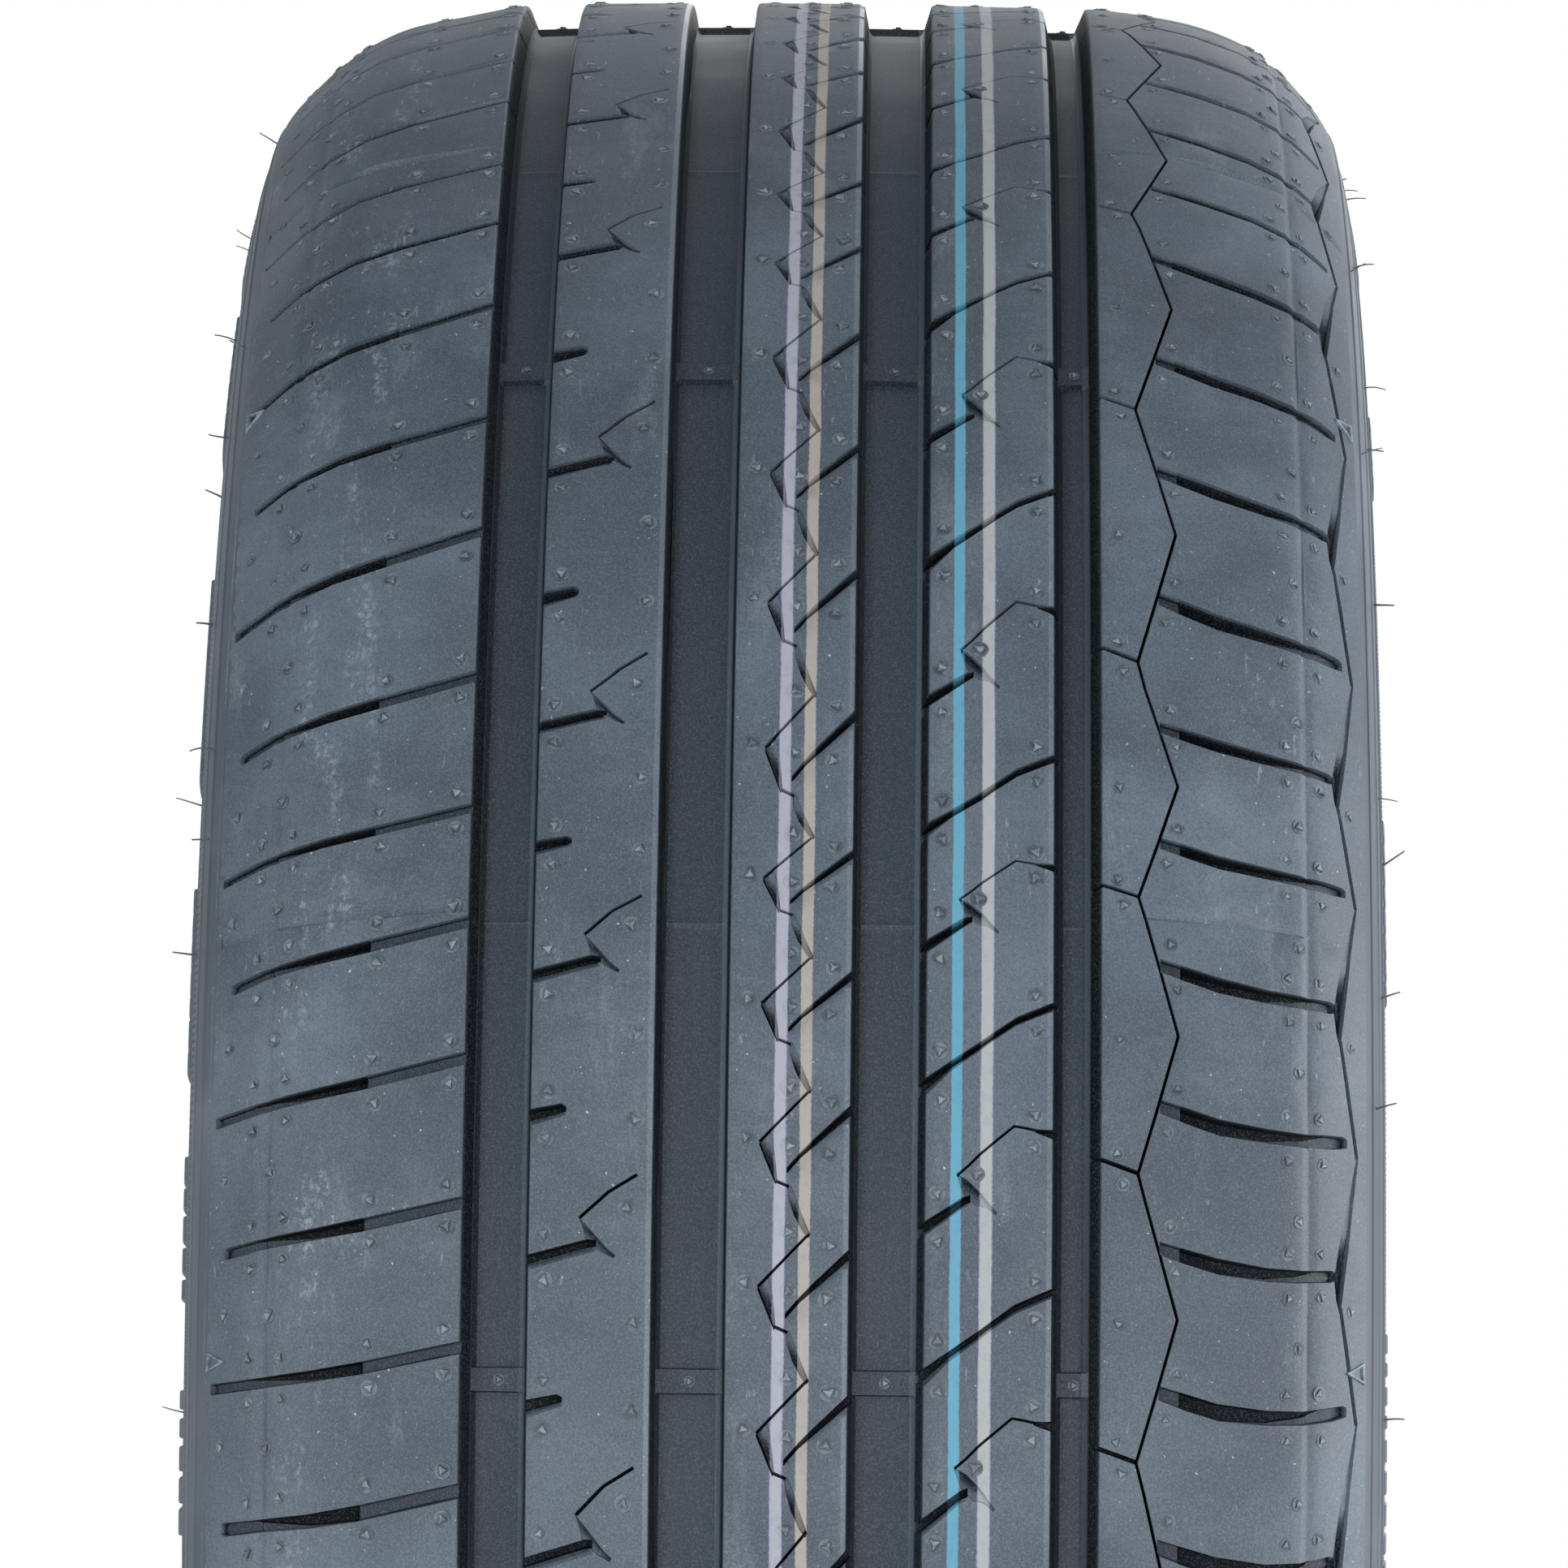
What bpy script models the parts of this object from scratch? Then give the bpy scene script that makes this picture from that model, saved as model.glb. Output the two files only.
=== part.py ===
"""Radial car tire, 245/40 R18, as the separate components that a tire building drum lays up.

Frame: the wheel's centre is the origin, the tire turns about +Y, and +Z is up. "left" is -Y, "right" is +Y.
Every component is one solid of revolution about Y. Its section is a closed list of (y, r) points in
millimetres: y is the distance along the axle and r the distance from it, at the middle of a facet.
Paired components are drawn on the right and mirrored to the left.
"""

import math

import bmesh
import bpy
import numpy as np
from mathutils import Matrix, Vector

MM = 0.001

# ---- Driving dimensions, in millimetres ----
RIM_DIAMETER = 457.2
SECTION_HEIGHT = 98.0
TREAD_RADIUS = RIM_DIAMETER / 2 + SECTION_HEIGHT
SECTION_HALF_WIDTH = 124.5  # widest point of the sidewall
RIM_HALF_WIDTH = 107.9      # outer face of the bead, against the flange of an 8.5 J rim
GAP = 0.3                   # clearance between two neighbouring layers

# Facets and shading
STEPS = 32                  # facets round the tire
WELD_DISTANCE = 1e-6        # metres
SHARP_ANGLE = math.radians(25)

# Layer thicknesses
PLY_THICKNESS = 1.1
LINER_THICKNESS = 1.2
BELT_THICKNESS = 1.1
CAP_PLY_THICKNESS = 0.8
BASE_THICKNESS = 1.3
WRAP_THICKNESS = 0.5

# Inner radii of the crown layers at the centre, from the inside out
PLY_RADIUS = 311.85         # centre line of the body ply
BELT_LOWER_RADIUS = PLY_RADIUS + PLY_THICKNESS / 2 + GAP
BELT_UPPER_RADIUS = BELT_LOWER_RADIUS + BELT_THICKNESS + GAP
CAP_PLY_RADIUS = BELT_UPPER_RADIUS + BELT_THICKNESS + GAP
BASE_RADIUS = CAP_PLY_RADIUS + CAP_PLY_THICKNESS + GAP
TREAD_CAP_RADIUS = BASE_RADIUS + BASE_THICKNESS + GAP

# Half widths across the crown
PLY_CROWN_HALF = 86.0       # where the body ply leaves the crown line
TREAD_BASE_HALF = 84.0
BELT_UPPER_HALF = 94.0
BELT_LOWER_HALF = 100.0
CAP_PLY_HALF = 103.0
TREAD_HALF = 108.0
EDGE_BAND_GAP = 0.5         # sideways, between the tread base and an edge band

# Crown line, shared by every crown layer: flat to the bend, then straight
CROWN_BEND = 60.0
CROWN_SHOULDER = 104.0      # second station that sets the slope beyond the bend

# Tread surface: (distance from the centre plane, drop below TREAD_RADIUS)
TREAD_DROPS = [(0, 0.0), (26, 0.0), (52, 0.5), (64.4, 1.0), (74, 2.4), (84, 4.6), (94, 7.2),
               (104.4, 12.9), (TREAD_HALF, 15.3)]
SHOULDER_CORNERS = (94.0, 104.4, TREAD_HALF)

# Circumferential grooves: (left edge, right edge) at the tread surface
GROOVES = [(-64.5, -50.7), (-26.2, -10.9), (13.5, 29.0), (54.4, 64.4)]
GROOVE_DEPTH = 7.3
GROOVE_WALL = 2.0           # how far a groove wall leans over its depth

# Bead seat, which tapers from heel to toe
HEEL_Y, HEEL_RADIUS = 103.5, 230.9
TOE_Y, TOE_RADIUS = 84.2, 229.5
TOE_STRIP_EDGE = 89.0       # outer side of the toe strip
CHAFER_EDGE = 89.4          # inner side of the chafer
CHAFER_TOP = 244.8
PROTECTOR_BOTTOM = CHAFER_TOP + GAP
PROTECTOR_TOP = 262.8
SIDEWALL_BOTTOM = PROTECTOR_TOP + GAP

# Bead core: centre and half axes of its six-cornered section
CORE_Y, CORE_RADIUS = 98.7, 238.3
CORE_HALF_WIDTH, CORE_HALF_HEIGHT = 3.3, 3.5
CORE_CORNERS = 6

# name: (base colour, roughness, metallic)
MATERIALS = {
    "tread_rubber": ((0.060, 0.068, 0.078), 0.55, 0.0),
    "base_rubber": ((0.045, 0.045, 0.048), 0.6, 0.0),
    "side_rubber": ((0.052, 0.058, 0.066), 0.6, 0.0),
    "rim_rubber": ((0.040, 0.043, 0.048), 0.5, 0.0),
    "hard_rubber": ((0.030, 0.030, 0.032), 0.45, 0.0),
    "liner_rubber": ((0.028, 0.028, 0.030), 0.4, 0.0),
    "nylon_cord": ((0.45, 0.40, 0.32), 0.7, 0.0),
    "polyester_cord": ((0.36, 0.33, 0.28), 0.7, 0.0),
    "steel_cord": ((0.42, 0.36, 0.24), 0.45, 0.3),
    "bead_wire": ((0.62, 0.50, 0.32), 0.35, 0.9),
    "bead_textile": ((0.30, 0.29, 0.27), 0.8, 0.0),
}


# ---- Section helpers ----
def crown_drop(y):
    """How far the crown curve falls below its centre at y."""
    return 7.6 * (abs(y) / 100.0) ** 2.6


def crown_radius(centre_radius, y):
    """Radius at y, beyond the bend, on the crown line of a layer surface."""
    slope = (crown_drop(CROWN_SHOULDER) - crown_drop(CROWN_BEND)) / (CROWN_SHOULDER - CROWN_BEND)
    return centre_radius - crown_drop(CROWN_BEND) - slope * (y - CROWN_BEND)


def mirrored(section):
    """The section on the other side of the centre plane, in reverse order."""
    return [(-y, r) for y, r in reversed(section)]


def crown_line(centre_radius, half):
    """A layer's surface across the crown, from -half to half."""
    right = [(y, crown_radius(centre_radius, y)) for y in (CROWN_BEND, half)]
    return mirrored(right) + right


def crown_band(inner_radius, thickness, half):
    return crown_line(inner_radius + thickness, half) + crown_line(inner_radius, half)[::-1]


def tread_point(y):
    """The point at y on the tread's outer surface."""
    distances, drops = zip(*TREAD_DROPS)
    return (y, TREAD_RADIUS - float(np.interp(abs(y), distances, drops)))


def seat_point(y):
    """The point at y on the bead seat."""
    slope = (HEEL_RADIUS - TOE_RADIUS) / (HEEL_Y - TOE_Y)
    return (y, TOE_RADIUS + slope * (y - TOE_Y))


def offset(path, distance):
    """A polyline moved sideways, to the right of its direction when distance is positive, with mitred corners."""
    points = [Vector(point) for point in path]
    normals = []
    for start, end in zip(points, points[1:]):
        along = (end - start).normalized()
        normals.append(Vector((along.y, -along.x)))
    moved = []
    for i, (y, r) in enumerate(path):
        adjoining = normals[max(i - 1, 0):i + 1]
        mitre = sum(adjoining, Vector((0, 0))).normalized()
        mitre *= distance / mitre.dot(adjoining[0])
        moved.append((y + mitre.x, r + mitre.y))
    return moved


def band(path, thickness):
    """A strip of even thickness centred on a polyline."""
    return offset(path, thickness / 2) + offset(path, -thickness / 2)[::-1]


# ---- Object helpers ----
def make_material(name, colour, roughness, metallic):
    material = bpy.data.materials.new(name)
    material.use_nodes = True
    inputs = material.node_tree.nodes["Principled BSDF"].inputs
    inputs["Base Color"].default_value = (*colour, 1.0)
    inputs["Roughness"].default_value = roughness
    inputs["Metallic"].default_value = metallic
    material.diffuse_color = (*colour, 1.0)
    return material


def ring(name, section, material_name):
    """Spins a closed section about the axle. One facet is centred on the bottom, so the tire stands on a flat."""
    bm = bmesh.new()
    facet_slope = math.tan(math.pi / STEPS)
    verts = [bm.verts.new((r * MM * facet_slope, y * MM, -r * MM)) for y, r in section]
    edges = [bm.edges.new((vert, verts[(i + 1) % len(verts)])) for i, vert in enumerate(verts)]
    bmesh.ops.spin(bm, geom=verts + edges, cent=(0, 0, 0), axis=(0, 1, 0), dvec=(0, 0, 0),
                   angle=2 * math.pi, space=Matrix.Identity(4), steps=STEPS,
                   use_merge=True, use_duplicate=False)
    bmesh.ops.remove_doubles(bm, verts=bm.verts, dist=WELD_DISTANCE)
    bmesh.ops.recalc_face_normals(bm, faces=bm.faces)
    mesh = bpy.data.meshes.new(name)
    bm.to_mesh(mesh)
    bm.free()
    mesh.shade_smooth()
    mesh.set_sharp_from_angle(angle=SHARP_ANGLE)
    mesh.materials.append(materials[material_name])
    obj = bpy.data.objects.new(name, mesh)
    bpy.context.scene.collection.objects.link(obj)
    obj.parent = tire


def ring_pair(name, section, material_name):
    """A right-hand ring and its mirror image on the left."""
    ring(name + "_right", section, material_name)
    ring(name + "_left", mirrored(section), material_name)


# ---- Scene ----
for old in list(bpy.data.objects):
    bpy.data.objects.remove(old)

tire = bpy.data.objects.new("tire", None)
bpy.context.scene.collection.objects.link(tire)
materials = {name: make_material(name, *settings) for name, settings in MATERIALS.items()}

# ---- Crown package, inside out ----
ring("belt_lower", crown_band(BELT_LOWER_RADIUS, BELT_THICKNESS, BELT_LOWER_HALF), "steel_cord")
ring("belt_upper", crown_band(BELT_UPPER_RADIUS, BELT_THICKNESS, BELT_UPPER_HALF), "steel_cord")
ring("cap_ply", crown_band(CAP_PLY_RADIUS, CAP_PLY_THICKNESS, CAP_PLY_HALF), "nylon_cord")
ring("tread_base", crown_band(BASE_RADIUS, BASE_THICKNESS, TREAD_BASE_HALF), "base_rubber")

# Second turn of nylon over each belt edge, beside the tread base
band_start = TREAD_BASE_HALF + EDGE_BAND_GAP
base_top = BASE_RADIUS + BASE_THICKNESS
edge_band = [(band_start, crown_radius(base_top, band_start)),
             (CAP_PLY_HALF, crown_radius(base_top, CAP_PLY_HALF)),
             (CAP_PLY_HALF, crown_radius(BASE_RADIUS, CAP_PLY_HALF)),
             (band_start, crown_radius(BASE_RADIUS, band_start))]
ring_pair("edge_band", edge_band, "nylon_cord")

# Cushion wedge that holds the belt edges off the ply
wedge = [(89.6, 305.8), (101.5, 303.9), (103.9, 296.9), (99.8, 300.9)]
ring_pair("belt_edge_wedge", wedge, "base_rubber")

# ---- Tread cap, with the grooves cut into its outer surface ----
shoulder = [tread_point(y) for y in SHOULDER_CORNERS]
tread_outer = mirrored(shoulder)
for left, right in GROOVES:
    left_edge, right_edge = tread_point(left), tread_point(right)
    tread_outer += [left_edge,
                    (left + GROOVE_WALL, left_edge[1] - GROOVE_DEPTH),
                    (right - GROOVE_WALL, right_edge[1] - GROOVE_DEPTH),
                    right_edge]
tread_outer += shoulder
ring("tread_cap", tread_outer + crown_line(TREAD_CAP_RADIUS, CAP_PLY_HALF)[::-1], "tread_rubber")

# Wing strip that joins the tread's edge to the sidewall
wing = [(108.4, 310.7), (115.4, 304.3), (111.0, 298.6), (105.2, 296.4), (103.8, 309.2)]
ring_pair("tread_wing", wing, "side_rubber")

# ---- Body ply: bead to bead, turned up round each bead core ----
side_run = crown_line(PLY_RADIUS, PLY_CROWN_HALF)[2:] + [
    (99.0, 299.6), (112.6, 284.0), (115.2, 271.0), (110.4, 258.6), (92.1, 239.2)]
turn_up = [(93.0, 233.2), (103.9, 233.5), (105.3, 243.0), (116.4, 262.4), (118.4, 272.2)]
ply_right = side_run + turn_up
ring("body_ply", band(mirrored(ply_right) + ply_right, PLY_THICKNESS), "polyester_cord")

# ---- Inner liner: follows the inside of the ply, without its turn-ups ----
liner_path = offset(mirrored(side_run) + side_run, PLY_THICKNESS / 2 + GAP + LINER_THICKNESS / 2)
ring("inner_liner", band(liner_path, LINER_THICKNESS), "liner_rubber")

# ---- Beads ----
core_angles = [2 * math.pi * k / CORE_CORNERS for k in range(CORE_CORNERS)]
core = [(CORE_Y + CORE_HALF_WIDTH * math.cos(angle), CORE_RADIUS + CORE_HALF_HEIGHT * math.sin(angle))
        for angle in core_angles]
ring_pair("bead_core", core, "bead_wire")

# Textile wrap: a trough round the core, open at the top where the filler stands on it
wrap_path = [(94.5, 239.6), (94.5, 234.7), (102.9, 234.7), (103.4, 241.0)]
ring_pair("bead_wrap", band(wrap_path, WRAP_THICKNESS), "bead_textile")

filler = [(96.7, 242.0), (103.3, 242.0), (114.9, 262.6), (116.0, 267.6), (111.9, 258.4)]
ring_pair("bead_filler", filler, "hard_rubber")

# Abrasion strip between the ply and the rim, with the flat face that the rim flange presses on
chafer = [seat_point(CHAFER_EDGE), (HEEL_Y, HEEL_RADIUS), (106.4, 231.9),
          (RIM_HALF_WIDTH, 234.6), (RIM_HALF_WIDTH, 243.6), (108.7, CHAFER_TOP),
          (107.3, CHAFER_TOP), (106.15, 242.6), (104.6, 232.2), (92.1, 231.5),
          (90.9, 237.8), (CHAFER_EDGE, 236.9)]
ring_pair("chafer", chafer, "rim_rubber")

toe = [(TOE_Y, TOE_RADIUS), seat_point(TOE_STRIP_EDGE), (TOE_STRIP_EDGE, 236.4), (84.6, 232.3)]
ring_pair("toe_strip", toe, "rim_rubber")

# ---- Sides ----
# Rib that stands out over the rim flange
protector = [(109.0, PROTECTOR_BOTTOM), (118.2, 250.6), (123.9, 255.2), (124.1, 259.4),
             (122.2, PROTECTOR_TOP), (117.7, PROTECTOR_TOP), (107.6, PROTECTOR_BOTTOM)]
ring_pair("rim_protector", protector, "rim_rubber")

sidewall = [(122.2, SIDEWALL_BOTTOM), (123.8, 269.0), (SECTION_HALF_WIDTH, 276.5),
            (123.9, 285.0), (122.0, 292.6), (119.0, 299.4), (115.7, 303.8),
            (111.2, 298.0), (105.4, 295.7), (107.9, 292.9), (114.1, 284.0),
            (116.0, 274.2), (119.4, 273.4), (117.8, SIDEWALL_BOTTOM)]
ring_pair("sidewall", sidewall, "side_rubber")
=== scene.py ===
"""A car tire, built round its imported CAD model.

Frame: the wheel's centre is the origin, +Y runs along the axle and +Z is up. Left is -Y and right is
+Y. Lengths are millimetres until a mesh is made; the floor, lights and camera are in metres. Angles
start at +X and grow towards +Z. A section's point is (y, radius). A tread point is (y, pitch), where
pitch counts the pattern's pitches round the tire, against the angle.
"""

import math
import random
from functools import reduce

import bpy
import numpy as np
from mathutils import Matrix, Vector
from mathutils.geometry import delaunay_2d_cdt


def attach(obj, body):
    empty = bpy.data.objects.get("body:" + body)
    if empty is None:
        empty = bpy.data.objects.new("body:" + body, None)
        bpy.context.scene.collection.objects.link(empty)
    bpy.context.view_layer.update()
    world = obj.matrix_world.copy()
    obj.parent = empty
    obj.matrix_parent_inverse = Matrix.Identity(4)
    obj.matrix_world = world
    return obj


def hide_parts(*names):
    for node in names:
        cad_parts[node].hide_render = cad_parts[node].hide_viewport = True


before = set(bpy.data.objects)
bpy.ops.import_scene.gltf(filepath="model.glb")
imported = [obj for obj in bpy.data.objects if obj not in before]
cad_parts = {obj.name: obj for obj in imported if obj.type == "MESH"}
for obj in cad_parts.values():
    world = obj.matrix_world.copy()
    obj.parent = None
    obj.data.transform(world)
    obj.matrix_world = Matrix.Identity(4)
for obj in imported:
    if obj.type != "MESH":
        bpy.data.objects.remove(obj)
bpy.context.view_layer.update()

MM = 0.001
CROWN_R = 326.6
TREAD_L, TREAD_R = -117.6, 118.9  # the tread's two edges, on the shoulders

# ---------------------------------------------------------------------------------- outline
# (distance from the centre plane, radius). The right shoulder is a little fuller than the left.
OUTLINE_L = [
    (0, CROWN_R), (26, 326.4), (52, 326.0), (65, 325.4), (77.9, 322.9), (85, 321.6),
    (91.6, 319.9), (98.4, 316.9), (103.3, 313.9), (107.5, 310.7), (110.5, 307.9), (113.6, 304.8),
    (116.4, 301.8), (118.7, 298.4), (120.2, 294.4), (121.4, 290.0), (122.4, 284.5)]
OUTLINE_R = [
    (0, CROWN_R), (26, 326.4), (52, 326.0), (65, 325.8), (79.6, 324.2), (86, 323.1),
    (92.1, 321.5), (99.1, 318.8), (104.4, 315.9), (107.9, 313.0), (111.1, 310.0), (113.6, 307.2),
    (116.3, 304.1), (118.5, 301.2), (120.2, 298.0), (121.4, 294.3), (123.3, 285.0)]


def smooth_curve(points):
    """A cubic curve through points that never overshoots them, as a function of an array."""
    xs, ys = (np.array(column, float) for column in zip(*points))
    steps, slopes = np.diff(xs), np.diff(ys) / np.diff(xs)
    tangents = np.zeros(len(xs))
    tangents[-1] = slopes[-1]
    for i in range(1, len(xs) - 1):
        if slopes[i - 1] * slopes[i] > 0:
            before, after = 2 * steps[i] + steps[i - 1], steps[i] + 2 * steps[i - 1]
            tangents[i] = (before + after) / (before / slopes[i - 1] + after / slopes[i])

    def curve(at):
        at = np.clip(np.asarray(at, float), xs[0], xs[-1])
        i = np.clip(np.searchsorted(xs, at) - 1, 0, len(steps) - 1)
        t = (at - xs[i]) / steps[i]
        return ((1 + 2 * t) * (1 - t) ** 2 * ys[i] + t * (1 - t) ** 2 * steps[i] * tangents[i]
                + t * t * (3 - 2 * t) * ys[i + 1] + t * t * (t - 1) * steps[i] * tangents[i + 1])
    return curve


left_outline, right_outline = smooth_curve(OUTLINE_L), smooth_curve(OUTLINE_R)


def skin_radius(y):
    return np.where(np.asarray(y) < 0, left_outline(np.abs(y)), right_outline(np.abs(y)))


def skin_point(y, depth):
    """(y, radius) of a point sunk by depth below the outer skin, along its normal."""
    y = np.asarray(y, float)
    slope = (skin_radius(y + 0.05) - skin_radius(y - 0.05)) / 0.1
    length = np.sqrt(1 + slope ** 2)
    return y + depth * slope / length, skin_radius(y) - depth / length


# ---------------------------------------------------------------------------------- grooves
GROOVE_D = 7.3
# The four grooves round the tire: left edge, right edge, chamfer on the rib to the left,
# lean of the left wall, lean of the right wall, fillet at the right wall's foot
GROOVES = [
    (-64.5, -50.7, 0.25, 2.4, 0.8, 1.2),
    (-26.2, -10.9, 1.25, 1.4, 0.8, 1.2),
    (13.5, 29.0, 1.25, 1.4, 1.6, 1.2),
    (54.4, 64.4, 1.25, 1.7, 2.2, 1.3)]
EDGES = [y for left, right, *_ in GROOVES for y in (left, right)]
SHELF = 1.6  # depth of the flat shelves in the shoulder grooves
CREASES = [(-104.7, 1.3, 0.32), (106.7, 1.5, 0.42)]  # soft hollow rings: y, half width, depth


def groove_profile():
    """Breakpoints (y, depth) of the grooves, from left to right across the tread."""
    points = [(-200.0, 0.0)]
    for left, right, chamfer, left_lean, right_lean, fillet in GROOVES:
        foot = right - right_lean
        points += [
            (left - chamfer, 0.0), (left, 0.45 if chamfer > 1 else 0.2), (left + 0.15, 0.9),
            (left + left_lean * 0.9, GROOVE_D - 0.9), (left + left_lean + 0.5, GROOVE_D),
            (foot - fillet - 0.5, GROOVE_D), (foot - fillet, GROOVE_D - 0.12),
            (foot - fillet * 0.5, GROOVE_D - 0.65), (foot, GROOVE_D - 1.7),
            (right - 0.15, 0.6), (right, 0.22), (right + 0.4, 0.0)]
    return points + [(200.0, 0.0)]


PROFILE = groove_profile()

# ---------------------------------------------------------------------------------- pitches
PITCHES = 68
PITCH_MM = 29.3      # length of a pitch where the pattern is drawn
CELL = 2 * PITCH_MM  # the pattern repeats every two pitches
# Degrees of the first shoulder grooves; the other pitches shuffle three lengths
FIRST_ANGLES = [71.42, 65.78, 60.59, 54.99, 50.51, 45.07, 38.93, 33.23, 26.95, 21.77, 17.36, 12.27,
                7.15, 2.03, -3.12]


def pitch_angles():
    rest = PITCHES - (len(FIRST_ANGLES) - 1)
    rng = random.Random(7)
    sizes, size = [], 1.0
    while len(sizes) < rest:
        size = rng.choice([other for other in (0.86, 1.0, 1.15) if other != size])
        sizes += [size] * rng.choice((1, 2, 2, 3))
    sizes = np.array(sizes[:rest])
    sizes *= (360.0 - (FIRST_ANGLES[0] - FIRST_ANGLES[-1])) / sizes.sum()
    return np.concatenate([FIRST_ANGLES, FIRST_ANGLES[-1] - np.cumsum(sizes)])


ANGLES = pitch_angles()
# Degrees each rib's blocks lie ahead of the shared angles over the first pitches; a row per rib
DRIFT = [
    [0.6, 0.6, 0.95, 0.55, 0.6, 0.65, 0.4, 0.6, 0.35, 0.05, 0.1, 0.1, 0.0, -0.05, 0.1],
    [0.6, 0.8, 0.7, 0.55, 0.45, 0.05, -0.1, -0.2, 0.1, 0.4, 0.1, 0.05, -0.05, -0.05, -0.15],
    [0.3, 0.4, 1.2, 0.55, 0.45, 0.95, 0.95, 0.75, 0.9, -0.1, -0.2, 0.05, 0.0, -0.05, -0.05],
    [0.6, 0.9, 1.1, 0.8, 0.7, 0.5, 0.4, 0.25, 0.3, 0.1, 0.12, 0.1, 0.05, -0.05, -0.05],
    [0.35, 0.2, 0.25, 0.55, 0.4, -0.35, -0.3, -0.45, -0.25, 0.3, 0.12, 0.1, -0.05, 0.1, -0.05]]


def drift(pitch, y):
    """Degrees a tread point lies ahead of the shared angles. It blends across the grooves."""
    pitch, y = np.broadcast_arrays(np.asarray(pitch, float) % PITCHES, np.asarray(y, float))
    knots = list(range(15)) + [16, PITCHES - 2, PITCHES]
    ribs = np.stack([np.interp(pitch, knots, row + [0.0, 0.0, row[0]]) for row in DRIFT])
    place = np.interp(y, EDGES, [0, 1, 1, 2, 2, 3, 3, 4])
    rib = np.minimum(place.astype(int), 3)
    low, high = (np.take_along_axis(ribs, (rib + k)[None], 0)[0] for k in (0, 1))
    return low + (high - low) * (place - rib)


def angle_at(pitch, y):
    """Angle round the tire, in radians, of the tread point (y, pitch)."""
    pitch = np.asarray(pitch, float)
    turn = np.floor(pitch / PITCHES)
    shared = np.interp(pitch - turn * PITCHES, np.arange(PITCHES + 1), ANGLES)
    return np.radians(shared - 360.0 * turn + drift(pitch, y))


def pitch_at(degrees, y):
    """The pitch coordinate that lies at an angle on the line y."""
    wanted = ANGLES[0] - ((ANGLES[0] - degrees) % 360.0)
    pitch = float(np.interp(-wanted, -ANGLES, np.arange(PITCHES + 1)))
    for _ in range(8):
        error = (math.degrees(float(angle_at(pitch, y))) - wanted + 180.0) % 360.0 - 180.0
        pitch += error / 5.3
    return pitch


# Degrees of the tread wear bars, and of the joints between the mould's nine sectors
WEAR_BARS = [42.55] + [0.60 - 39.76 * k for k in range(8)]
SECTORS = [56.8] + [17.6 - 40.1 * k for k in range(8)]
BAR_HEIGHT, BAR_HALF = 1.65, 2.35
FLANK = 0.3  # width of a wear bar's slope, and half the width of a joint's ridge


# ---------------------------------------------------------------------------------- cuts
class Cut:
    """A groove, wedge or sipe: its (y, pitch) outline at the surface, its depth and its walls' lean.

    depth is a number, [(y, depth), ...] along the axle, or a ramp ((y, pitch), depth, (y, pitch),
    depth) between two points. lean is the width the walls lean over.
    """

    def __init__(self, outline, depth, lean=0.25):
        self.outline = np.array([(y, pitch * PITCH_MM) for y, pitch in outline], float)
        x, y = self.outline.T
        if (x * np.roll(y, -1) - np.roll(x, -1) * y).sum() < 0:
            self.outline = self.outline[::-1]
        self.depth, self.lean = depth, lean

    def depth_at(self, points):
        if isinstance(self.depth, (int, float)):
            return np.full(len(points), float(self.depth))
        if isinstance(self.depth, tuple):
            (y0, pitch0), depth0, (y1, pitch1), depth1 = self.depth
            start, end = np.array((y0, pitch0 * PITCH_MM)), np.array((y1, pitch1 * PITCH_MM))
            t = (points - start) @ (end - start) / ((end - start) @ (end - start))
            return depth0 + (depth1 - depth0) * np.clip(t, 0, 1)
        return np.interp(points[:, 0], *zip(*sorted(self.depth)))


def line_mitres(points, normal_sign, limit):
    """Mitred normals at each point of an open line. limit stops sharp corners running away."""
    ways = np.diff(points, axis=0)
    ways /= np.linalg.norm(ways, axis=1)[:, None]
    normals = np.stack([-ways[:, 1], ways[:, 0]], 1) * normal_sign
    mitres = []
    for i in range(len(points)):
        before, after = normals[max(i - 1, 0)], normals[min(i, len(normals) - 1)]
        mitres.append((before + after) / max(limit, 1 + before @ after))
    return mitres


def stroke(points, width, depth, lean=0.12):
    """A cut of even width along a line of (y, pitch) points."""
    points = np.array([(y, pitch * PITCH_MM) for y, pitch in points], float)
    mitres = line_mitres(points, 1, 1e-6)
    outline = [p + mitre * width / 2 for p, mitre in zip(points, mitres)]
    outline += [p - mitre * width / 2 for p, mitre in reversed(list(zip(points, mitres)))]
    return Cut([(y, along / PITCH_MM) for y, along in outline], depth, lean)


def edge_at(line, y):
    return float(np.interp(y, *zip(*sorted(line))))


def part_of(upper, lower, y0, y1, share=(1.0, 1.0)):
    """The outline between a groove's two edges from y0 to y1.

    share is how much of the groove's width it takes, from the upper edge, at even steps y0 to y1.
    """
    low_y, high_y = sorted((y0, y1))
    inner = {y for y, _ in list(upper) + list(lower) if low_y + 0.3 < y < high_y - 0.3}
    top = [(y, edge_at(upper, y)) for y in sorted({low_y, high_y} | inner)]
    bottom = []
    for y, pitch in top:
        part = float(np.interp((y - y0) / (y1 - y0), np.linspace(0, 1, len(share)), share))
        bottom.append((y, pitch + part * (edge_at(lower, y) - pitch)))
    return top + bottom[::-1]


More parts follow.
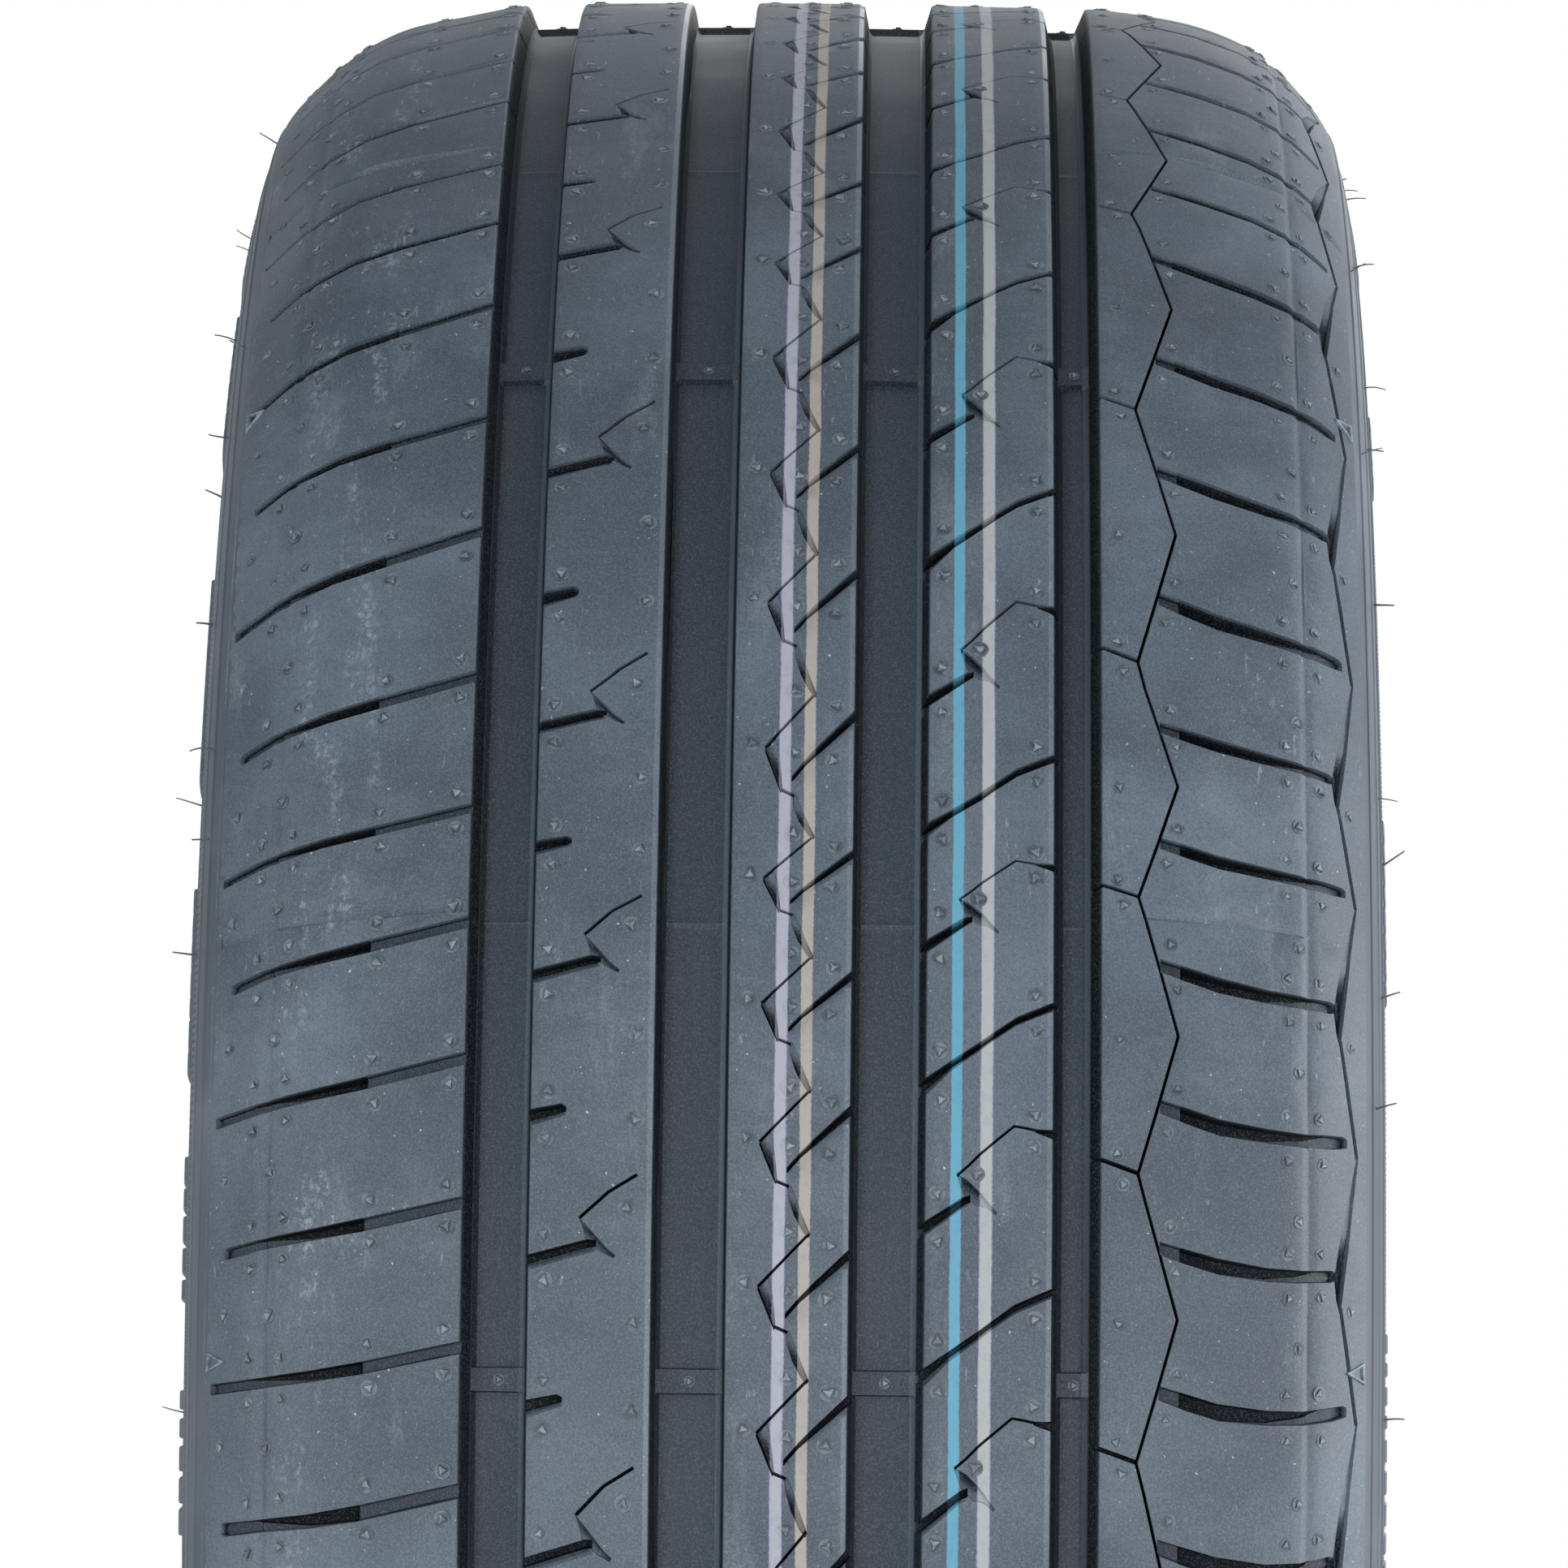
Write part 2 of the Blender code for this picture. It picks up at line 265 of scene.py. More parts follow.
def lateral(upper, lower, depth, share):
    """A groove across a rib: a deep slot under its upper edge, and a bevel to its lower edge."""
    y0, y1 = min(y for y, _ in upper), max(y for y, _ in upper)
    middle = (y0 + y1) / 2
    gap = abs(edge_at(lower, middle) - edge_at(upper, middle)) * PITCH_MM
    return [Cut(list(upper) + list(reversed(lower)), 1.0, max(0.25, gap * (1 - share[0]) * 0.8)),
            Cut(part_of(upper, lower, y0, y1, share), depth, 0.2)]


def shoulder_groove(upper, lower, inner, step, outer, end):
    """A flat shelf from inner to step, a deep slot thinning from there to outer with a bevel
    beside it, and a flat channel from the crease out to end."""
    over = math.copysign(0.3, end - inner)
    if end < 0:
        crease, share = CREASES[0][0], (1.0, 1.0, 0.88, 0.58, 0.35, 0.10)
    else:
        crease, share = CREASES[1][0], (1.0, 1.0, 0.96, 0.82, 0.58, 0.12)
    floor = [(step, 1.0), (crease, 1.0), (crease + over, SHELF), (end, SHELF)]
    return [Cut(part_of(upper, lower, inner, step + over), SHELF, 0.3),
            Cut(part_of(upper, lower, step, outer, share), [(step, 5.2), (outer, 1.8)], 0.16),
            Cut(part_of(upper, lower, step, end), floor, 0.3)]


# Pitch values below run from 0 to 2 down the cell
def left_shoulder():
    """A short groove, then a long one."""
    return shoulder_groove(
        [(-62.0, -0.004), (-64.7, 0.014), (-84.7, 0.155), (-95.0, 0.220), (-105.4, 0.272),
         (-112.6, 0.312), (-113.3, 0.330)],
        [(-62.0, 0.088), (-64.6, 0.106), (-84.7, 0.253), (-95.0, 0.308), (-105.3, 0.351),
         (-112.6, 0.400), (-113.3, 0.388)],
        inner=-62.0, step=-84.5, outer=-107.5, end=-113.3
    ) + shoulder_groove(
        [(-62.0, 0.990), (-64.3, 1.008), (-84.3, 1.159), (-95.0, 1.226), (-105.0, 1.276),
         (-115.6, 1.325), (-116.2, 1.342)],
        [(-62.0, 1.085), (-64.2, 1.102), (-84.3, 1.253), (-95.0, 1.312), (-104.9, 1.358),
         (-115.6, 1.412), (-116.2, 1.400)],
        inner=-62.0, step=-84.3, outer=-108.5, end=-116.2)


def left_rib():
    """A bolt of sipe, wedge and lateral groove, and a short notch."""
    return [
        stroke([(-29.1, -0.152), (-34.9, -0.030), (-40.6, 0.150)], 0.72, 5.0),
        Cut([(-40.9, 0.140), (-38.0, 0.245), (-35.2, 0.353), (-33.3, 0.408), (-33.7, 0.428),
             (-36.3, 0.385), (-39.3, 0.300), (-39.9, 0.216)],
            ((-39.3, 0.300), 0.35, (-37.6, 0.242), 1.35), 0.15),
        *lateral([(-53.0, 0.424), (-50.4, 0.402), (-39.0, 0.296), (-37.2, 0.300)],
                 [(-53.0, 0.536), (-50.4, 0.510), (-42.7, 0.432), (-37.2, 0.382)],
                 3.8, (0.62, 0.60)),
        *lateral([(-53.0, 1.425), (-50.6, 1.398), (-44.7, 1.360), (-43.6, 1.380)],
                 [(-53.0, 1.546), (-50.4, 1.517), (-44.4, 1.450), (-43.6, 1.436)],
                 3.8, (0.66, 0.66))]


def centre_rib(start):
    """A zigzag sipe with a bevelled flank on two of its legs, and a lateral groove."""
    def at(*points):
        return [(y, pitch + start) for y, pitch in points]
    return [
        stroke(at((5.7, 0.250), (-4.6, 0.620)), 0.62, 5.0),
        stroke(at((-4.55, 0.625), (-1.2, 0.905)), 0.34, 4.0, 0.08),
        Cut(at((-4.7, 0.640), (-2.4, 0.545), (-1.7, 0.64), (-1.2, 0.78), (-0.9, 0.90),
               (-1.3, 0.915)),
            ((-1.1, start + 0.66), 0.35, (-3.4, start + 0.735), 1.5), 0.12),
        stroke(at((-1.3, 0.890), (1.5, 0.930)), 0.7, 4.5),
        Cut(at((1.1, 0.905), (1.9, 0.925), (3.0, 1.015), (4.1, 1.118), (5.9, 1.258), (5.5, 1.285),
               (4.3, 1.240), (2.5, 1.13), (1.3, 1.01)),
            ((4.0, start + 1.08), 0.45, (2.3, start + 1.135), 1.7), 0.12),
        *lateral(at((0.9, 0.800), (3.8, 0.686), (6.2, 0.601), (14.0, 0.345), (16.0, 0.280)),
                 at((0.9, 0.905), (3.8, 0.780), (6.8, 0.696), (13.9, 0.478), (16.0, 0.414)),
                 4.6, (0.40, 0.62))]


def right_rib():
    """A full lateral groove, and a hook of groove, wedge and sipe."""
    return [
        *lateral([(26.5, 1.215), (29.2, 1.157), (33.7, 1.050), (39.7, 0.908), (42.2, 0.845),
                  (47.0, 0.726), (54.7, 0.610), (56.6, 0.585)],
                 [(26.5, 1.345), (29.2, 1.285), (33.8, 1.122), (39.7, 0.975), (42.2, 0.907),
                  (47.0, 0.793), (54.7, 0.678), (56.6, 0.655)], 4.6, (0.66, 0.70)),
        *lateral([(26.5, 0.225), (29.2, 0.157), (36.6, -0.004), (38.0, -0.02)],
                 [(26.5, 0.335), (29.2, 0.262), (36.6, 0.070), (38.0, 0.05)], 4.6, (0.72, 0.80)),
        Cut([(35.0, -0.170), (37.6, -0.115), (40.2, -0.028), (41.9, 0.045), (43.4, 0.100),
             (43.2, 0.122), (41.2, 0.072), (38.8, 0.055), (36.5, -0.020)],
            ((37.6, 0.02), 0.4, (39.0, -0.065), 1.4), 0.15),
        stroke([(35.2, 1.850), (37.5, 1.782), (40.1, 1.692), (42.4, 1.625), (46.7, 1.501),
                (49.2, 1.515), (51.6, 1.533)], 0.58, 4.6),
        Cut([(51.0, 1.519), (53.0, 1.522), (56.6, 1.515), (56.6, 1.600), (54.6, 1.590),
             (52.5, 1.565), (51.0, 1.545)], 3.6, 0.2)]


def right_shoulder():
    """A zigzag sipe, a short lateral sipe, a short and a long groove, and a line beyond them with
    a bevel beside it."""
    return [
        stroke([(71.7, -0.195), (76.0, 0.350), (79.8, 0.837), (75.8, 1.330), (71.7, 1.805)],
               0.68, 5.0),
        stroke([(61.5, 1.680), (64.3, 1.713), (71.9, 1.802)], 0.95, 4.0, 0.2),
        *shoulder_groove(
            [(75.6, 0.272), (79.6, 0.309), (87.9, 0.384), (97.9, 0.437), (105.5, 0.440),
             (111.4, 0.416), (112.2, 0.428)],
            [(75.8, 0.370), (81.3, 0.434), (87.9, 0.502), (97.9, 0.541), (104.6, 0.537),
             (111.3, 0.508), (112.2, 0.492)],
            inner=76.1, step=80.4, outer=108.5, end=112.2),
        *shoulder_groove(
            [(76.0, 1.286), (81.5, 1.338), (88.1, 1.404), (98.1, 1.446), (105.7, 1.450),
             (113.8, 1.408), (114.7, 1.420)],
            [(75.6, 1.378), (81.6, 1.453), (88.2, 1.521), (98.1, 1.549), (105.7, 1.548),
             (111.7, 1.520), (114.7, 1.486)],
            inner=76.1, step=80.4, outer=110.0, end=114.7),
        stroke([(113.3, 0.69), (116.8, 1.55)], 0.72, 2.0),
        Cut([(117.1, -0.46), (113.5, 0.69), (113.1, 0.74), (112.4, 0.64), (111.9, 0.47),
             (113.6, 0.08), (115.7, -0.26), (116.7, -0.46)],
            ((112.2, 0.30), 0.55, (114.3, 0.36), 2.1), 0.14)]


CUTS = left_shoulder() + left_rib() + centre_rib(0.0) + centre_rib(1.0) + right_rib() + right_shoulder()


# ---------------------------------------------------------------------------------- cells
# A cell's points are (y, along): along is millimetres round the tire, from 0 to CELL. A wear bar is
# (its along at each of EDGES, half width), a joint is its along at each of EDGES.
def inside_distance(outline, points):
    """How far each point is inside a closed outline; 0 outside it."""
    start, end = outline, np.roll(outline, -1, axis=0)
    side = end - start
    offset = points[:, None, :] - start[None]
    t = np.clip((offset * side).sum(2) / (side * side).sum(1), 0, 1)
    distance = np.linalg.norm(offset - t[..., None] * side, axis=2).min(1)
    y = points[:, 1:2]
    crosses = (start[:, 1] > y) != (end[:, 1] > y)
    with np.errstate(divide="ignore", invalid="ignore"):
        x = start[:, 0] + (y - start[:, 1]) * side[:, 0] / side[:, 1]
    odd = (crosses & (points[:, 0:1] < x)).sum(1) % 2 == 1
    return np.where(odd, distance, 0.0)


def cell_depth(points, bars):
    """Depth of each point of a cell below the tread's skin."""
    y, along = points.T
    depth = np.interp(y, *zip(*PROFILE))
    for bar, half in bars:
        away = np.abs(along - np.interp(y, EDGES, bar))
        rise = np.clip((half + FLANK - away) / FLANK, 0, 1)
        depth = np.minimum(depth, np.where(depth > 1.0, GROOVE_D - BAR_HEIGHT * rise, depth))
    for cut in CUTS:
        low, high = cut.outline.min(0), cut.outline.max(0)
        for shift in (-CELL, 0.0, CELL):
            near = ((y >= low[0]) & (y <= high[0])
                    & (along >= low[1] + shift) & (along <= high[1] + shift))
            if near.any():
                at = points[near] - (0, shift)
                wall = np.clip(inside_distance(cut.outline, at) / cut.lean, 0, 1)
                depth[near] = np.maximum(depth[near], cut.depth_at(at) * wall)
    for centre, half, sunk in CREASES:
        away = np.clip(np.abs(y - centre) / half, 0, 1)
        depth = np.maximum(depth, sunk * np.cos(away * math.pi / 2) ** 2)
    return depth


def inset(outline, distance):
    """The outline moved inwards, for an outline that runs anticlockwise."""
    side = np.roll(outline, -1, axis=0) - outline
    side /= np.linalg.norm(side, axis=1)[:, None]
    normal = np.stack([-side[:, 1], side[:, 0]], 1)
    before = np.roll(normal, 1, axis=0)
    mitre = (normal + before) / np.maximum(0.35, 1 + (normal * before).sum(1))[:, None]
    return outline + mitre * distance


def cell_lines(bars, joint):
    """The points and edges that a cell's mesh must follow."""
    points, edges = [], []

    def line(stations, closed=False):
        first = len(points)
        points.extend(Vector((float(y), float(along))) for y, along in stations)
        edges.extend((i, i + 1) for i in range(first, len(points) - 1))
        if closed:
            edges.append((len(points) - 1, first))

    def lines_in_grooves(mark, margin, offsets):
        for k in range(0, len(EDGES), 2):
            for offset in offsets:
                line([(EDGES[k] + margin, mark[k] + offset),
                      (EDGES[k + 1] - margin, mark[k + 1] + offset)])

    for cut in CUTS:
        for shift in (-CELL, 0.0, CELL):
            along = cut.outline[:, 1]
            if along.max() + shift > -1 and along.min() + shift < CELL + 1:
                line(cut.outline + (0, shift), True)
                line(inset(cut.outline, cut.lean) + (0, shift), True)
    for along in (0.0, CELL):
        line([(TREAD_L, along), (TREAD_R, along)])
    profile_ys = [y for y, _ in PROFILE[1:-1]]
    breaks = profile_ys + [TREAD_L, TREAD_R]
    for y, half, _ in CREASES:
        breaks += [y - half, y - half / 2, y, y + half / 2, y + half]
    for left, _, _, lean, _, _ in GROOVES:
        # where the left wall is 1.6 short of the groove's full depth
        breaks.append(left + 0.15 + (lean * 0.9 - 0.15) * (GROOVE_D - 1.6 - 0.9) / (GROOVE_D - 1.8))
    for y in breaks:
        line([(y, -1.0), (y, CELL + 1.0)])
    for bar, half in bars:
        lines_in_grooves(bar, 0.05, (-half - FLANK, -half, half, half + FLANK))
    if joint is not None:
        line([(TREAD_L - 1, joint[0])] + list(zip(EDGES, joint)) + [(TREAD_R + 1, joint[-1])])
        lines_in_grooves(joint, 0.3, (-FLANK, FLANK))
    # loose points between the edges
    grid = np.concatenate([
        np.arange(TREAD_L + 1.6, -66, 2.0), np.arange(-48.5, -28, 3.2), np.arange(-8.5, 12, 3.2),
        np.arange(31, 53, 3.2), np.arange(67.0, TREAD_R - 1, 2.0)])
    for along in np.linspace(0, CELL, 17):
        points.extend(Vector((float(y), float(along)))
                      for y in [*grid, *profile_ys, TREAD_L, TREAD_R])
    return points, edges


CELL_BORDER = []  # y of the first cell's end points, filled when it is made


def match_ends(points):
    """Gives the two ends of a cell the same points as in every other cell."""
    for at in (0.0, CELL):
        end = np.abs(points[:, 1] - at) < 1e-3
        points[end, 1] = at
        if CELL_BORDER:
            known = np.array(CELL_BORDER)
            near = known[np.abs(points[end, 0][:, None] - known).argmin(1)]
            points[end, 0] = np.where(np.abs(near - points[end, 0]) < 0.02, near, points[end, 0])
        else:
            CELL_BORDER.extend(sorted(points[end, 0].tolist()))


def cell_mesh(bars, joint):
    """One cell cut along every edge of the pattern: points, their depths, and triangles."""
    out, _, faces, *_ = delaunay_2d_cdt(*cell_lines(bars, joint), [], 0, 1e-4, False)
    points = np.array([(point.x, point.y) for point in out])
    triangles = np.array([face for face in faces if len(face) == 3])
    y, along = points[triangles].mean(1).T
    triangles = triangles[(y > TREAD_L) & (y < TREAD_R) & (along > 0) & (along < CELL)]
    used, triangles = np.unique(triangles, return_inverse=True)
    points, triangles = points[used], triangles.reshape(-1, 3)
    corner, second, third = (points[triangles[:, k]] for k in range(3))
    (x1, y1), (x2, y2) = (second - corner).T, (third - corner).T
    clockwise = x1 * y2 - y1 * x2 < 0
    triangles[clockwise] = triangles[clockwise][:, ::-1]
    match_ends(points)
    depth = cell_depth(points, bars)
    if joint is not None:
        away = np.abs(points[:, 1] - np.interp(points[:, 0], EDGES, joint))
        ridge = np.clip(1 - away / FLANK, 0, 1)
        depth = np.where(depth > GROOVE_D - 0.3, depth - 0.14 * ridge, depth)
    return points, depth, triangles


# ---------------------------------------------------------------------------------- mesh helpers
class Pieces:
    """Gathers pieces of mesh into one list of points and one of faces."""

    def __init__(self):
        self.points, self.faces = [], []

    def add(self, points, faces):
        first = len(self.points)
        self.points.extend(points)
        self.faces += [tuple(first + i for i in face) for face in faces]


def new_object(name, points, faces, material, slot, smooth=32.0, attribute=None, replaces=()):
    """A mesh object that rides on the root body. attribute is (name, a value for each point)."""
    mesh = bpy.data.meshes.new(name)
    points = np.asarray(points, np.float32) * MM
    if isinstance(faces, np.ndarray):
        mesh.vertices.add(len(points))
        mesh.vertices.foreach_set("co", points.ravel())
        count, corners = faces.shape
        mesh.loops.add(faces.size)
        mesh.loops.foreach_set("vertex_index", faces.astype(np.int32).ravel())
        mesh.polygons.add(count)
        mesh.polygons.foreach_set("loop_start", np.arange(0, faces.size, corners, dtype=np.int32))
        mesh.polygons.foreach_set("loop_total", np.full(count, corners, np.int32))
        mesh.update(calc_edges=True)
        mesh.validate()
    else:
        mesh.from_pydata(points.tolist(), [], faces)
        mesh.update()
    mesh.shade_smooth()
    mesh.set_sharp_from_angle(angle=math.radians(smooth))
    if attribute:
        layer = mesh.attributes.new(attribute[0], "FLOAT", "POINT")
        layer.data.foreach_set("value", np.asarray(attribute[1], np.float32))
    mesh.materials.append(material)
    obj = bpy.data.objects.new(name, mesh)
    bpy.context.scene.collection.objects.link(obj)
    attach(obj, "root")
    if replaces:
        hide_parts(*replaces)
    return obj


def revolve(section, steps):
    """A closed section turned round the axle: points and quads that face out."""
    section = np.array(section, float)
    y, radius = section.T
    if (y * np.roll(radius, -1) - np.roll(y, -1) * radius).sum() > 0:
        section = section[::-1]
        y, radius = section.T
    angle = np.arange(steps) * 2 * math.pi / steps
    points = np.stack([np.outer(np.cos(angle), radius), np.tile(y, (steps, 1)),
                       np.outer(np.sin(angle), radius)], 2).reshape(-1, 3)
    n = len(section)
    i, j = np.meshgrid(np.arange(steps), np.arange(n), indexing="ij")
    i2, j2 = (i + 1) % steps, (j + 1) % n
    faces = np.stack([i * n + j, i * n + j2, i2 * n + j2, i2 * n + j], 2).reshape(-1, 4)
    return points, faces


def add_ring(name, section, steps, material, slot, node):
    new_object(name, *revolve(section, steps), material, slot, replaces=[node])


def to_side(side, section):
    """A right-hand section put on its side: -1 for left, 1 for right."""
    return [(side * y, radius) for y, radius in section]


def around(y, radius, angle):
    """Points in space at (y, radius) and an angle round the axle."""
    return np.stack([radius * np.cos(angle), y, radius * np.sin(angle)], 1)


def round_corner(before, corner, after, radius, steps):
    """Points of a curve that rounds a corner."""
    corner = np.array(corner, float)
    ends = []
    for end in (before, after):
        arm = np.array(end, float) - corner
        length = np.linalg.norm(arm)
        ends.append(corner + arm / length * min(radius, 0.42 * length))
    return [tuple((1 - t) ** 2 * ends[0] + 2 * t * (1 - t) * corner + t * t * ends[1])
            for t in (k / steps for k in range(steps + 1))]


def rounded(section, radius, steps=3):
    """A closed section with its corners rounded."""
    count = len(section)
    return [point for i in range(count) for point in round_corner(
        section[i - 1], section[i], section[(i + 1) % count], radius, steps)]


def rounded_path(path, radius, steps=4):
    """An open line with its corners rounded."""
    inner = [point for i in range(1, len(path) - 1)
             for point in round_corner(path[i - 1], path[i], path[i + 1], radius, steps)]
    return [path[0]] + inner + [path[-1]]


def shift_line(path, distance):
    """An open line moved to the right of its own direction."""
    points = np.array(path, float)
    return [tuple(point + mitre * distance)
            for point, mitre in zip(points, line_mitres(points, -1, 0.3))]


# ---------------------------------------------------------------------------------- shader nodes
FALL = (1.0, 0.0)


class Nodes:
    """Short names for shader nodes: most calls add a node and return its output."""

    def __init__(self, tree):
        self.tree = tree
        self.colour = None  # what coat() has built up

    def put(self, socket, value):
        if isinstance(value, bpy.types.NodeSocket):
            self.tree.links.new(value, socket)
        elif value is not None:
            if isinstance(value, tuple) and len(value) == 3 and socket.type == "RGBA":
                value = (*value, 1.0)
            socket.default_value = value

    def add(self, kind, inputs=None, **settings):
        """Adds a node and returns it. Inputs are keyed by socket name or number."""
        node = self.tree.nodes.new("ShaderNode" + kind)
        for name, value in settings.items():
            setattr(node, name, value)
        for socket, value in (inputs or {}).items():
            self.put(node.inputs[socket], value)
        return node

    def here(self):
        return self.add("TexCoord").outputs["Object"]

    def math(self, operation, first, second=None):
        return self.add("Math", {0: first, 1: second}, operation=operation).outputs[0]

    def plus(self, first, second):
        return self.math("ADD", first, second)

    def less(self, first, second):
        return self.math("SUBTRACT", first, second)

    def either(self, first, second):
        return self.math("MAXIMUM", first, second)

    def times(self, *factors):
        return reduce(lambda first, second: self.math("MULTIPLY", first, second), factors)

    def ramp(self, value, at, to=(0.0, 1.0), smooth=False):
        """Maps the range at onto the range to, held at its ends."""
        kind = "SMOOTHSTEP" if smooth else "LINEAR"
        inputs = {0: value, 1: at[0], 2: at[1], 3: to[0], 4: to[1]}
        return self.add("MapRange", inputs, interpolation_type=kind).outputs[0]

    def window(self, value, rise, fall):
        """1 between two ranges, 0 outside them."""
        return self.times(self.ramp(value, at=rise), self.ramp(value, at=fall, to=FALL))

    def band(self, value, centre, half, soft):
        """1 where value is within half of centre, falling to 0 over soft."""
        away = self.math("ABSOLUTE", self.less(value, centre))
        return self.ramp(away, at=(half - soft / 2, half + soft / 2), to=FALL)

    def noise(self, scale, detail=3.0, rough=0.55, stretch=None):
        at = self.here()
        if stretch:
            at = self.add("Mapping", {"Vector": at, "Scale": stretch}).outputs[0]
        inputs = {"Vector": at, "Scale": scale, "Detail": detail, "Roughness": rough}
        return self.add("TexNoise", inputs).outputs["Fac"]

    def mix(self, factor, first, second):
        inputs = {"Factor": factor, 6: first, 7: second}
        return self.add("Mix", inputs, data_type="RGBA").outputs[2]

    def coat(self, mask, tone, amount=None):
        """Lays a tone over the colour so far, where the mask is."""
        if amount is not None:
            mask = self.times(mask, amount)
        self.colour = self.mix(mask, self.colour, tone)

    def attribute(self, name):
        return self.add("Attribute", attribute_name=name).outputs["Fac"]

    def split(self, vector):
        return self.add("SeparateXYZ", {0: vector}).outputs

    def axle(self):
        """Distance along the axle in mm."""
        return self.times(self.split(self.here())[1], 1000.0)

    def radius(self):
        x, _, z = self.split(self.here())
        return self.times(self.math("SQRT", self.plus(self.times(x, x), self.times(z, z))), 1000.0)

    def bump(self, height, distance, strength, normal=None):
        inputs = {"Strength": strength, "Distance": distance, "Height": height, "Normal": normal}
        return self.add("Bump", inputs).outputs[0]

    def surface(self, rough, normal=None, colour=None, specular=None, metallic=None):
        """Sets the principled shader's inputs; the colour is what coat() built if not given."""
        values = {"Base Color": colour or self.colour, "Roughness": rough, "Normal": normal,
                  "Specular IOR Level": specular, "Metallic": metallic}
        bsdf = self.tree.nodes["Principled BSDF"]
        for name, value in values.items():
            self.put(bsdf.inputs[name], value)
        return bsdf


def material(name, look):
    """A material whose nodes are set up by look(nodes)."""
    made = bpy.data.materials.new(name)
    made.use_nodes = True
    look(Nodes(made.node_tree))
    return made


def srgb(*channels):
    """A linear colour from red, green and blue out of 255."""
    return tuple(((c / 255 + 0.055) / 1.055) ** 2.4 if c > 10 else c / 255 / 12.92
                 for c in channels)


# ---------------------------------------------------------------------------------- tread look
# Painted lines round the crown: y, half width, tone, cover, whether the line has a violet rim
CENTRE_LINE = -0.5
PAINTED_LINES = [
    (CENTRE_LINE, 1.2, srgb(155, 156, 165), 0.94, True),
    (4.6, 1.15, srgb(163, 155, 147), 0.84, False),
    (35.0, 1.1, srgb(86, 150, 174), 0.88, False),
    (41.1, 1.25, srgb(160, 163, 163), 0.90, True)]


def groove_feet(n, y):
    """Masks of the strips at the feet of the grooves' left and right walls."""
    left_feet, right_feet = [], []
    for left, right, _, left_lean, right_lean, fillet in GROOVES:
        right_feet.append(n.band(y, centre=right - right_lean - fillet / 2 - 0.1,
                                 half=fillet / 2 + 0.05, soft=0.35))
        foot = left + left_lean
        left_feet.append(n.times(n.ramp(y, at=(left - 0.5, left)),
                                 n.ramp(y, at=(foot, foot + 2.9), to=FALL, smooth=True)))
    return reduce(n.either, left_feet), reduce(n.either, right_feet)


def coat_grooves(n, y, depth, sunk):
    """Paints shade into the grooves and highlights on their chamfers and fillets; returns masks of the
    walls, the chamfers and the fillets.
    """
    # painted shade: the steep walls and the sipes are coloured nearly black, but less so on the
    # shoulder grooves' shelves
    wall = n.times(n.ramp(depth, at=(0.45, 1.4), smooth=True),
                   n.ramp(depth, at=(5.15, 5.6), to=FALL))
    shelf = n.window(depth, rise=(1.5, 1.58), fall=(1.62, 1.70))
    wall = n.times(wall, n.less(1.0, n.times(shelf, 0.52)))
    # painted shade: everything sunk below the land is darkened a little
    n.coat(sunk, amount=0.34, tone=srgb(33, 43, 52))
    # painted shade on the tops of the wear bars
    wear_bar_shade = n.window(depth, rise=(5.52, 5.6), fall=(5.7, 5.78))
    n.coat(wear_bar_shade, amount=0.30, tone=srgb(20, 25, 30))
    n.coat(wall, amount=0.93, tone=srgb(8, 9, 12))
    # painted highlights: paler strips on the chamfer beside each groove and on the fillet at its foot
    first, second, third = (n.band(y, centre=left - 0.65, half=0.72, soft=0.15)
                            for left, *_ in GROOVES[1:])
    chamfer = n.times(n.window(depth, rise=(0.03, 0.12), fall=(0.42, 0.5)),
                      n.either(first, n.either(second, third)))
    left_foot, right_foot = groove_feet(n, y)
    fillet = n.times(n.window(depth, rise=(5.5, 6.0), fall=(6.9, 7.22)), right_foot)
    n.coat(chamfer, amount=0.16, tone=srgb(150, 163, 176))
    n.coat(fillet, amount=0.32, tone=srgb(132, 146, 158))
    # painted shade on the slopes near the groove floors: the left walls' feet and the wear bars'
    # flanks, but not the fillets
    slope = n.times(n.window(depth, rise=(5.8, 5.95), fall=(6.9, 7.2)), n.less(1.0, right_foot))
    n.coat(slope, amount=0.75, tone=srgb(12, 14, 17))
    # painted shade spreading out from the foot of each groove's left wall
    n.coat(n.times(left_foot, n.ramp(depth, at=(5.2, 6.0))), amount=0.72, tone=srgb(14, 16, 19))
    return wall, chamfer, fillet


